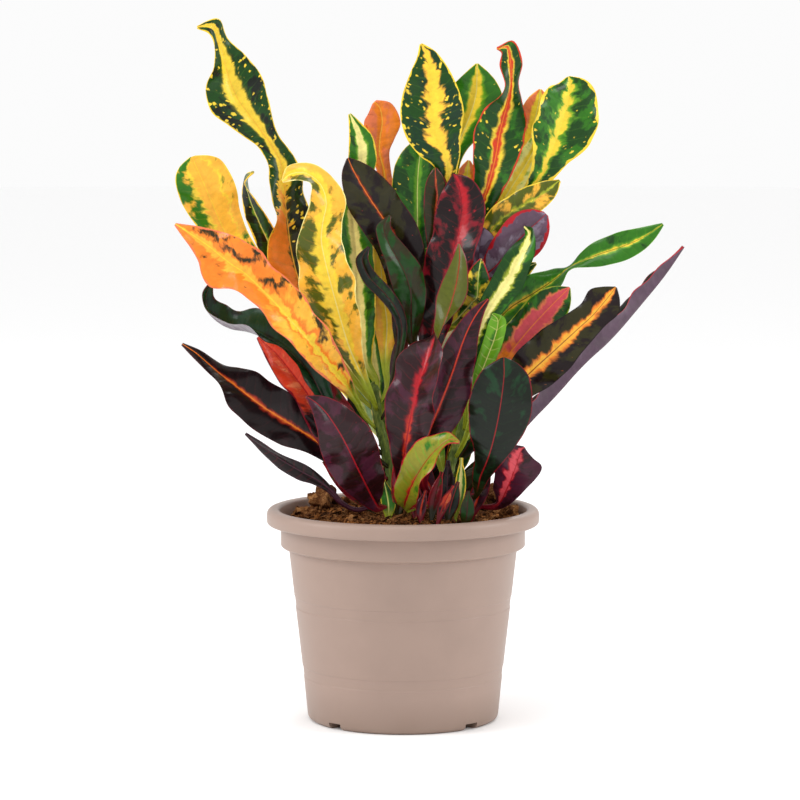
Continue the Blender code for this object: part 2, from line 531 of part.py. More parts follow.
def skin_blade(builder, rings):
    """Joins a leaf's rings with triangles that are split the same way on its two faces, so that a twisted
    blade keeps its thickness: each half of the blade, from midrib to edge, takes its shorter diagonal."""
    rib, left, right = 2, 0, 4
    for lower, upper in zip(rings, rings[1:]):
        count = len(lower)
        for i in range(count):
            j = (i + 1) % count
            edge = left if i < rib or i >= 6 else right
            outward = (lower[rib].co - upper[edge].co).length < (lower[edge].co - upper[rib].co).length
            towards_rib = i in (0, 1, 4, 5)
            if outward == towards_rib:
                builder.faces.new((lower[i], lower[j], upper[i]))
                builder.faces.new((lower[j], upper[j], upper[i]))
            else:
                builder.faces.new((lower[i], lower[j], upper[j]))
                builder.faces.new((lower[i], upper[j], upper[i]))


def make_leaf(name, stem, height, bearing, fold_degrees, facing, stations, material):
    """A thin closed leaf that starts square on its stem and follows its midrib to the tip."""
    turn = math.radians(bearing)
    outward = Vector((math.cos(turn), math.sin(turn), 0))
    seat = stem_centre_at(stem, height) + outward * (STEMS[stem][1] + SEAT_GAP)
    lead = seat + outward * PETIOLE_LEAD + Vector((0, 0, 0.6 * PETIOLE_LEAD))
    points = [seat, lead] + [Vector(s[:3]) for s in stations]
    widths = [PETIOLE_HALF_WIDTH, PETIOLE_HALF_WIDTH] + [s[3] for s in stations]
    rolls = [0.0, 0.0] + [float(s[4]) for s in stations]
    rows = leaf_rows(points, widths, rolls)
    builder = bmesh.new()
    rings = []
    for i, (centre, half_width, roll) in enumerate(rows):
        share = i / (len(rows) - 1)
        ahead = rows[min(i + 1, len(rows) - 1)][0]
        behind = rows[max(i - 1, 0)][0]
        along = (ahead - behind).normalized() if i else outward
        # the seat takes the next row's face, so that the stalk leaves its stem without a twist
        looks = Vector((0, facing, 0.35))
        if i == 0:
            onward = (rows[2][0] - rows[0][0]).normalized()
            looks = looks - onward * looks.dot(onward)
        face = (looks - along * looks.dot(along)).normalized()
        side = along.cross(face)
        angle = math.radians(roll)
        turned_side = side * math.cos(angle) + face * math.sin(angle)
        turned_face = face * math.cos(angle) - side * math.sin(angle)
        open_up = min(1.0, half_width / FLAT_HALF_WIDTH)
        fold = math.radians(fold_degrees) * open_up
        ring = leaf_ring(centre, turned_side, turned_face, half_width, fold, share)
        rings.append([builder.verts.new(p * MM) for p in ring])
    skin_blade(builder, rings)
    builder.faces.new(list(reversed(rings[0])))
    builder.faces.new(rings[-1])
    bmesh.ops.recalc_face_normals(builder, faces=builder.faces)
    leaf = add_object(name, builder, material)
    leaf.data.shade_smooth()
    return leaf


def main():
    empty_scene()
    clay = plain_material("moulded_plastic", (0.45, 0.33, 0.27), 0.6)
    earth = plain_material("potting_soil", (0.07, 0.03, 0.015), 0.95)
    bark = plain_material("young_stem", (0.12, 0.2, 0.03), 0.5)
    blade = plain_material("croton_leaf", (0.05, 0.18, 0.02), 0.3)
    make_pot(clay)
    make_soil(earth)
    for name in STEMS:
        make_stem(name, bark)
    for row in LEAVES:
        make_leaf(*row, blade)


main()
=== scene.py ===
"""Looks of a potted croton: painted leaves, woody stems, crumbly soil and a moulded pot, on its frame."""

import math
import random

import bmesh
import bpy
from mathutils import Matrix, Vector, noise
from mathutils.bvhtree import BVHTree


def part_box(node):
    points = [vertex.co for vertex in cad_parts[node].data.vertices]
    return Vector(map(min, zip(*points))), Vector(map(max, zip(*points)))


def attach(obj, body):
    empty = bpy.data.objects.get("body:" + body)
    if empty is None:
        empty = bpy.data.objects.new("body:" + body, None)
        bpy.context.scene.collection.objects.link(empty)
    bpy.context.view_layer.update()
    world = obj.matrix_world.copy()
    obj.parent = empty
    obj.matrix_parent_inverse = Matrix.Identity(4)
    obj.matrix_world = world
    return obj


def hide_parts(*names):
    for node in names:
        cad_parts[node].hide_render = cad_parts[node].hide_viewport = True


bl_info = {
    "name": "Potted croton",
    "version": (1, 0, 0),
    "blender": (4, 5, 0),
    "location": "View3D > Sidebar > Croton",
    "description": "Models a potted croton's leaves, stems, soil and pot around its packed frame",
    "category": "Add Mesh",
}

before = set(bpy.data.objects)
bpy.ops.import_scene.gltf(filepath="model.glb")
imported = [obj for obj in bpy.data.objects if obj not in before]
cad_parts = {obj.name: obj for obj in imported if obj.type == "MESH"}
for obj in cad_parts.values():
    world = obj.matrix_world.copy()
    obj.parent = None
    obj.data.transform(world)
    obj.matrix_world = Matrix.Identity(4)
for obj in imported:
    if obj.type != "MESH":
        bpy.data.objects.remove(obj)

MM = 0.001
MERGE = 0.00002
RING = 8
LEAF_SEED_STEP = 1.37
INNER_SEED = 90
INNER_SEED_STEP = 2.3
FULL_TURN = 2 * math.pi


def linear(code):
    """An sRGB hex colour as the linear RGBA that shaders take."""
    parts = [int(code[i:i + 2], 16) / 255 for i in (1, 3, 5)]
    curved = [p / 12.92 if p <= 0.04045 else ((p + 0.055) / 1.055) ** 2.4 for p in parts]
    return (*curved, 1.0)


def shade(label, code, note):
    """A colour property."""
    return bpy.props.FloatVectorProperty(
        name=label, description=note, subtype="COLOR", size=4, min=0.0, max=1.0, default=linear(code))


def length(label, millimetres, note):
    """A size property, in metres."""
    return bpy.props.FloatProperty(
        name=label, description=note, subtype="DISTANCE", unit="LENGTH", min=0.0, precision=5,
        default=millimetres * MM)


# ---------------------------------------------------------------- settings

class CrotonPalette(bpy.types.PropertyGroup):
    """Colours that the leaves are painted from."""
    black_green: shade("Black green", "#0c150a", "Oldest, nearly black green blades")
    deep_green: shade("Deep green", "#153f0c", "Blade of the upper leaves")
    blue_green: shade("Blue green", "#10341a", "Bluish blade of the broad top leaf")
    mid_green: shade("Mid green", "#2c6c10", "Younger green blades")
    light_green: shade("Light green", "#68a022", "Soft new growth and the fringe of a band")
    olive: shade("Olive", "#525a12", "Green that turns to yellow")
    dark_olive: shade("Dark olive", "#2b280b", "Green that turns to bronze")
    moss: shade("Moss", "#8c8a22", "Dull yellow green of a fading leaf")
    yellow_green: shade("Yellow green", "#9aa62a", "Stalks and fading yellow")
    pale_yellow: shade("Pale yellow", "#f0e48c", "Palest bands")
    yellow: shade("Yellow", "#f3cf3a", "Bands, margins and flecks")
    amber: shade("Amber", "#f5b43a", "Warm yellow blades")
    orange: shade("Orange", "#f08226", "Ageing yellow")
    salmon: shade("Salmon", "#e4764a", "Pinkish orange leaves")
    red_orange: shade("Red orange", "#cf3a1c", "Ribs and bands of older leaves")
    red: shade("Red", "#a81420", "Ribs, veins and margins")
    pink_red: shade("Pink red", "#d24a54", "Broad bands of the low leaves")
    crimson: shade("Crimson", "#740c1c", "Deep red blotches")
    dark_red: shade("Dark red", "#4a0a10", "Thin margins of the darkest leaves")
    maroon: shade("Maroon", "#260b10", "Blades that have turned")
    black_maroon: shade("Black maroon", "#160709", "Darkest turned blades")
    purple: shade("Purple", "#42182a", "Purple blades")
    mauve: shade("Mauve", "#5c4456", "Dull undersides")
    # painted sheen: a pale grey mauve that stands in for the soft reflection that dark purple blades catch
    painted_sheen_mauve: shade("Silver mauve", "#857688", "Dull purple blades that catch the light")
    silver_green: shade("Silver green", "#74906a", "Pale undersides of green leaves")


class CrotonStemColours(bpy.types.PropertyGroup):
    """Colours of the stems' bark, from its cracks to its corky ridges."""
    cracks: shade("Cracks", "#37400f", "Dark green in the bark's cracks")
    green: shade("Green", "#4d6216", "Green bark")
    cork: shade("Cork", "#7f8a34", "Pale corky ridges")


class CrotonLeafForm(bpy.types.PropertyGroup):
    """How finely the leaves are modelled, and how wavy they are."""
    row_step: length("Row spacing", 1.9, "Distance between rows of faces along a leaf")
    ripple: length("Ripple", 1.8, "Height of the waves along a broad leaf's margin")
    ripple_length: length("Ripple length", 36.0, "Distance from one wave to the next")
    around: bpy.props.IntProperty(
        name="Faces around", description="Faces around a leaf's section, a multiple of four", min=8,
        default=32)


class CrotonPotSizes(bpy.types.PropertyGroup):
    """Sizes of the pot that its CAD solid leaves out."""
    band_depth: length("Band depth", 0.32, "Depth of the two moulded rings")
    band_width: length("Band width", 7.2, "Height of each moulded ring")
    sides: bpy.props.IntProperty(name="Sides", description="Faces around the pot", min=32, default=160)
    plastic: shade("Plastic", "#9b8478", "Taupe of the moulded plastic")
    # painted shade: a darker plastic colour mixed in near the foot
    painted_foot_shade: shade("Splashed", "#7d685a", "Plastic that soil has splashed, at the foot")


class CrotonSoilSettings(bpy.types.PropertyGroup):
    """How the soil is broken up."""
    crumbs: bpy.props.IntProperty(name="Crumbs", description="Loose crumbs on the soil", min=0, default=2400)
    chips: bpy.props.IntProperty(name="Bark chips", description="Larger bark chips", min=0, default=640)
    crumb_size: length("Crumb size", 1.7, "Usual radius of a crumb")
    peat: shade("Peat", "#5a351c", "Damp dark peat")
    dry_peat: shade("Dry peat", "#a56c3a", "Peat fibres that have dried")
    damp_bark: shade("Damp bark", "#60391e", "Damp hollows of the bark chips")
    bark: shade("Bark", "#a8784a", "Dry bark chips")


class CrotonStage(bpy.types.PropertyGroup):
    """Floor, light and camera."""
    floor_radius: length("Floor radius", 9000.0, "Reach of the plain floor")
    camera_distance: length("Camera distance", 2100.0, "From the pot's axis to the camera")
    camera_height: length("Camera height", 410.0, "Camera above the floor")
    aim_height: length("Aim height", 199.8, "Height of the view's middle on the pot's axis")
    view_width: length("View width", 497.5, "Width of the view at the pot's axis")
    floor: shade("Floor", "#fdfdfd", "Plain pale floor")


# ---------------------------------------------------------------- material tools

def put(tree, kind, inputs=(), out=0, **settings):
    """Adds a node, sets its properties and inputs, links the inputs that are sockets, returns an output."""
    made = tree.nodes.new("ShaderNode" + kind)
    for name, value in settings.items():
        setattr(made, name, value)
    for key, value in (inputs.items() if isinstance(inputs, dict) else enumerate(inputs)):
        if isinstance(value, bpy.types.NodeSocket):
            tree.links.new(value, made.inputs[key])
        elif value is not None:
            made.inputs[key].default_value = value
    return made.outputs[out] if made.outputs else made


def new_material(name, surface):
    """A Principled material; surface holds values of its own sockets."""
    material = bpy.data.materials.new(name)
    material.use_nodes = True
    shader = material.node_tree.nodes["Principled BSDF"]
    for key, value in surface.items():
        shader.inputs[key].default_value = value
    return material, material.node_tree, shader


def finish_piece(name, form, material, replaced, smooth=True):
    """Makes the object from a bmesh, gives it its material and hangs it on the frame."""
    mesh = bpy.data.meshes.new(name)
    form.to_mesh(mesh)
    form.free()
    piece = bpy.data.objects.new(name, mesh)
    bpy.context.scene.collection.objects.link(piece)
    mesh.materials.append(material)
    if smooth:
        mesh.shade_smooth()
    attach(piece, "root")
    if replaced:
        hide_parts(*replaced)
    return piece


# ---------------------------------------------------------------- leaf paint

PAINT_COLOURS = ("Blade", "Mottle", "Foot", "Foot Band", "Band", "Fringe", "Rib", "Vein", "Edge", "Fleck",
                 "Stalk", "Under", "Under Rib")
PAINT_VALUES = ("Mottle Amount", "Mottle Side", "Foot Share", "Foot Shift", "Foot Reach", "Reach", "Shift",
                "Jag", "Fringe Width", "Rib Width", "Vein Amount", "Edge Width", "Fleck Amount", "Length",
                "Seed", "Show Through")
VEIN_SPACING_MM = 6.5
VEIN_LEAN = 0.5
SOFT = {"interpolation_type": "SMOOTHSTEP"}


def along_veins(tree, veined, stretch, kind="TexNoise", out=0, **inputs):
    """A texture that runs along the side veins; stretch is patches per millimetre along, across, by seed."""
    place = put(tree, "VectorMath", (veined, stretch), operation="MULTIPLY")
    return put(tree, kind, {"Vector": place, "Scale": 1.0, **inputs}, out=out)


def croton_paint():
    """The paint of a croton leaf as a node group.

    It reads the blade attribute (distance from the midrib, distance from the stalk's foot, half-width,
    all in millimetres) and the upper attribute (1 on the upper face). Bands, blotches and flecks
    stretch along the side veins, as the real leaf's colour does, because each patch between two veins
    turns on its own.
    """
    tree = bpy.data.node_groups.new("croton_paint", "ShaderNodeTree")
    for name in PAINT_COLOURS:
        tree.interface.new_socket(name, in_out="INPUT", socket_type="NodeSocketColor")
    for name in PAINT_VALUES:
        tree.interface.new_socket(name, in_out="INPUT", socket_type="NodeSocketFloat")
    for name, kind in (("Colour", "NodeSocketColor"), ("Height", "NodeSocketFloat")):
        tree.interface.new_socket(name, in_out="OUTPUT", socket_type=kind)
    given = tree.nodes.new("NodeGroupInput").outputs
    blade = put(tree, "Attribute", attribute_name="blade", out="Vector")
    x, y, half = put(tree, "SeparateXYZ", (blade,)).node.outputs
    upper = put(tree, "Attribute", attribute_name="upper", out="Fac")
    away = put(tree, "Math", (x,), operation="ABSOLUTE")
    side = put(tree, "Math", (x,), operation="SIGN")
    seed = put(tree, "Math", (side, 3.7, given["Seed"]), operation="MULTIPLY_ADD")
    share = put(tree, "Math", (y, given["Length"]), operation="DIVIDE")
    # along the side veins, which lean towards the tip
    wobble = put(tree, "TexNoise", {"Vector": blade, "Scale": 0.12, "Detail": 1.0}, noise_dimensions="3D")
    wobble = put(tree, "Math", (wobble, 5.0, -2.5), operation="MULTIPLY_ADD")
    vein_line = put(tree, "Math", (away, -VEIN_LEAN, y), operation="MULTIPLY_ADD")
    vein_line = put(tree, "Math", (vein_line, wobble), operation="ADD")
    veined = put(tree, "CombineXYZ", (vein_line, away, seed))
    # cells between veins, each turning colour on its own
    cell = along_veins(tree, veined, (0.2, 0.09, 1.0), "TexVoronoi", "Color", Randomness=1.0)
    cell_a, cell_b, cell_c = put(tree, "SeparateColor", (cell,)).node.outputs
    streak = along_veins(tree, veined, (0.19, 0.1, 1.0), Detail=4.0, Roughness=0.52)
    streak = put(tree, "MapRange", {"Value": streak, "From Min": 0.28, "From Max": 0.72})
    ragged = put(tree, "Mix", {0: 0.1, 2: streak, 3: cell_a})
    ragged = put(tree, "Math", (ragged, 2.0, -1.0), operation="MULTIPLY_ADD")
    # the foot of the blade may have its own colour
    foot = put(tree, "Math", (ragged, 0.07, share), operation="MULTIPLY_ADD")
    foot = put(tree, "Math", (given["Foot Share"], foot), operation="SUBTRACT")
    foot = put(tree, "MapRange", {"Value": foot, "From Min": -0.05, "From Max": 0.05}, **SOFT)
    # share of the half-width, measured from the band's own middle
    place = put(tree, "Math", (x, half), operation="DIVIDE")
    shift = put(tree, "Math", (foot, given["Foot Shift"], given["Shift"]), operation="MULTIPLY_ADD")
    place = put(tree, "Math", (place, shift), operation="SUBTRACT")
    place = put(tree, "Math", (place,), operation="ABSOLUTE")
    reach = put(tree, "Math", (foot, given["Foot Reach"], given["Reach"]), operation="MULTIPLY_ADD")
    band_edge = put(tree, "Math", (ragged, given["Jag"], reach), operation="MULTIPLY_ADD")
    inside = put(tree, "Math", (band_edge, place), operation="SUBTRACT")
    band_colour = put(tree, "Mix", {0: foot, 6: given["Band"], 7: given["Foot Band"]}, out=2,
                      data_type="RGBA")
    band = put(tree, "MapRange", {"Value": inside, "From Min": -0.06, "From Max": 0.07}, **SOFT)
    fringe_reach = along_veins(tree, veined, (0.17, 0.12, 1.7), Detail=3.0)
    fringe_reach = put(tree, "Mix", {0: 0.15, 2: fringe_reach, 3: cell_b})
    fringe_reach = put(tree, "MapRange", {"Value": fringe_reach, "From Min": 0.2, "From Max": 0.7})
    fringe_reach = put(tree, "Math", (fringe_reach, given["Fringe Width"]), operation="MULTIPLY")
    fringe_inside = put(tree, "Math", (inside, fringe_reach), operation="ADD")
    fringe = put(tree, "MapRange", {"Value": fringe_inside, "From Min": -0.08, "From Max": 0.12}, **SOFT)
    # mottling of the blade
    mottle = along_veins(tree, veined, (0.085, 0.085, 1.3), Detail=4.0, Roughness=0.55)
    mottle = put(tree, "Math", (cell_c, 0.03, mottle), operation="MULTIPLY_ADD")
    sided = put(tree, "Math", (side, given["Mottle Side"]), operation="MULTIPLY")
    mottle = put(tree, "Math", (mottle, sided), operation="ADD")
    level = put(tree, "Math", (given["Mottle Amount"], -0.5, 0.765), operation="MULTIPLY_ADD")
    mottle = put(tree, "Math", (mottle, level), operation="SUBTRACT")
    mottle = put(tree, "MapRange", {"Value": mottle, "From Min": -0.05, "From Max": 0.06}, **SOFT)
    # side veins
    between = put(tree, "Math", (vein_line, VEIN_SPACING_MM / 2), operation="PINGPONG")
    vein = put(tree, "MapRange", {"Value": between, "From Min": 0.55, "From Max": 0.1})
    vein_fade = put(tree, "MapRange", {"Value": place, "From Min": 1.0, "From Max": 0.5})
    vein_shown = put(tree, "Math", (vein, vein_fade), operation="MULTIPLY")
    vein_shown = put(tree, "Math", (vein_shown, given["Vein Amount"]), operation="MULTIPLY")
    # margin
    margin = along_veins(tree, veined, (0.16, 0.0, 1.0), Detail=3.0)
    margin = put(tree, "MapRange", {"Value": margin, "From Min": 0.35, "From Max": 0.7, "To Min": 0.35,
                                    "To Max": 2.4})
    margin = put(tree, "Math", (margin, given["Edge Width"]), operation="MULTIPLY")
    from_edge = put(tree, "Math", (half, away), operation="SUBTRACT")
    margin = put(tree, "Math", (margin, from_edge), operation="SUBTRACT")
    margin = put(tree, "MapRange", {"Value": margin, "From Min": -0.35, "From Max": 0.3}, **SOFT)
    # flecks
    fleck_place = put(tree, "VectorMath", (veined, (0.38, 0.32, 1.0)), operation="MULTIPLY")
    stirred = put(tree, "TexNoise", {"Vector": blade, "Scale": 0.5, "Detail": 2.0}, out="Color")
    fleck_place = put(tree, "VectorMath", {0: stirred, 1: (0.9, 0.9, 0.0), 2: fleck_place},
                      operation="MULTIPLY_ADD")
    fleck_cell = put(tree, "TexVoronoi", {"Vector": fleck_place, "Scale": 1.0, "Randomness": 1.0})
    fleck_pick = put(tree, "SeparateColor", (fleck_cell.node.outputs["Color"],))
    fleck_size = put(tree, "Math", (given["Fleck Amount"], fleck_pick), operation="SUBTRACT")
    outer = put(tree, "MapRange", {"Value": away, "From Max": 16.0, "To Min": -0.14, "To Max": 0.16})
    fleck_size = put(tree, "Math", (fleck_size, outer), operation="ADD")
    fleck_size = put(tree, "Math", (fleck_size, 0.9), operation="MULTIPLY")
    fleck_size = put(tree, "Math", (fleck_size, 0.42), operation="MINIMUM")
    fleck = put(tree, "Math", (fleck_size, fleck_cell), operation="SUBTRACT")
    fleck = put(tree, "MapRange", {"Value": fleck, "From Min": -0.06, "From Max": 0.14}, **SOFT)
    # midrib and stalk
    thinning = put(tree, "Math", (1.25, share), operation="SUBTRACT")
    rib = put(tree, "Math", (thinning, given["Rib Width"]), operation="MULTIPLY")
    rib = put(tree, "Math", (rib, away), operation="SUBTRACT")
    rib = put(tree, "MapRange", {"Value": rib, "From Min": -0.35, "From Max": 0.25}, **SOFT)
    stalk = put(tree, "MapRange", {"Value": half, "From Min": 5.0, "From Max": 2.8})
    low = put(tree, "MapRange", {"Value": share, "From Min": 0.45, "From Max": 0.35})
    stalk = put(tree, "Math", (stalk, low), operation="MULTIPLY")
    # layers of colour, from the blade up
    colour = given["Blade"]
    for mask, top in ((foot, given["Foot"]), (mottle, given["Mottle"]), (fringe, given["Fringe"]),
                      (fleck, given["Fleck"]), (band, band_colour), (vein_shown, given["Vein"]),
                      (margin, given["Edge"]), (rib, given["Rib"]), (stalk, given["Stalk"])):
        colour = put(tree, "Mix", {0: mask, 6: colour, 7: top}, out=2, data_type="RGBA")
    under = put(tree, "Mix", {0: given["Show Through"], 6: given["Under"], 7: colour}, out=2,
                data_type="RGBA")
    under = put(tree, "Mix", {0: rib, 6: under, 7: given["Under Rib"]}, out=2, data_type="RGBA")
    lip = put(tree, "MapRange", {"Value": from_edge, "From Min": 0.9, "From Max": 0.4})
    under = put(tree, "Mix", {0: lip, 6: under, 7: given["Edge"]}, out=2, data_type="RGBA")
    colour = put(tree, "Mix", {0: upper, 6: under, 7: colour}, out=2, data_type="RGBA")
    # a faint unevenness of tone, as leaf tissue has
    tone = put(tree, "TexNoise", {"Vector": blade, "Scale": 0.22, "Detail": 5.0, "Roughness": 0.65})
    tone = put(tree, "MapRange", {"Value": tone, "From Min": 0.25, "From Max": 0.75, "To Min": 0.82,
                                  "To Max": 1.16})
    colour = put(tree, "VectorMath", {0: colour, "Scale": tone}, operation="SCALE")
    # relief in millimetres: raised tissue between sunken veins, a grooved midrib, fine grain
    swell = put(tree, "MapRange", {"Value": between, "From Max": 2.2, "To Max": 0.16}, **SOFT)
    groove = put(tree, "MapRange", {"Value": away, "From Max": 1.6, "To Min": -0.25, "To Max": 0.0}, **SOFT)
    grain = put(tree, "TexNoise", {"Vector": blade, "Scale": 1.1, "Detail": 3.0})
    relief = put(tree, "Math", (grain, 0.05, swell), operation="MULTIPLY_ADD")
    relief = put(tree, "Math", (relief, groove), operation="ADD")
    facing = put(tree, "Math", (upper, 2.0, -1.0), operation="MULTIPLY_ADD")
    relief = put(tree, "Math", (relief, facing), operation="MULTIPLY")
    outgoing = tree.nodes.new("NodeGroupOutput")
    tree.links.new(colour, outgoing.inputs["Colour"])
    tree.links.new(relief, outgoing.inputs["Height"])
    return tree


# How the leaves look. Words are palette colours, numbers are shares of the half-width or millimetres.
PLAIN = dict(
    blade="deep_green", mottle="mid_green", foot="deep_green", band="yellow", fringe="light_green",
    rib="pale_yellow", vein="light_green", edge="yellow", fleck="yellow", stalk="yellow_green",
    under="silver_green", under_rib="yellow_green", mottle_amount=0.3, mottle_side=0.0, foot_share=-1.0,
    foot_shift=0.0, foot_reach=0.0, reach=0.25, shift=0.0, jag=0.14, fringe_width=0.2, rib_width=0.3,
    vein_amount=0.1, edge_width=0.45, fleck_amount=0.3, show_through=0.3)

LOOKS = {
    # young leaves: green with a feathered yellow band
    "painted": dict(),
    # leaves that have turned yellow
    "amber": dict(blade="amber", mottle="yellow", fringe="yellow", vein="orange", edge="amber",
        fleck="red_orange", under="amber", under_rib="yellow", show_through=0.6, fleck_amount=0.1,
        edge_width=0.4),
    # older leaves: maroon to black with a red rib
    "maroon": dict(blade="black_maroon", mottle="maroon", band="red", fringe="crimson", rib="red",
        vein="crimson", edge="crimson", fleck="crimson", stalk="crimson", under="mauve", under_rib="red",
        reach=-0.1, jag=0.06, fringe_width=0.1, rib_width=0.45, edge_width=0.3, vein_amount=0.2,
        fleck_amount=0.05, show_through=0.1),
    # dark glossy green, hardly painted
    "dark": dict(blade="black_green", mottle="deep_green", band="deep_green", fringe="deep_green",
        rib="dark_red", vein="deep_green", edge="dark_red", fleck="deep_green", stalk="dark_olive",
        under="mauve", under_rib="dark_red", reach=-0.2, jag=0.0, fringe_width=0.0, edge_width=0.3,
        fleck_amount=0.0, show_through=0.15, mottle_amount=0.4),
}

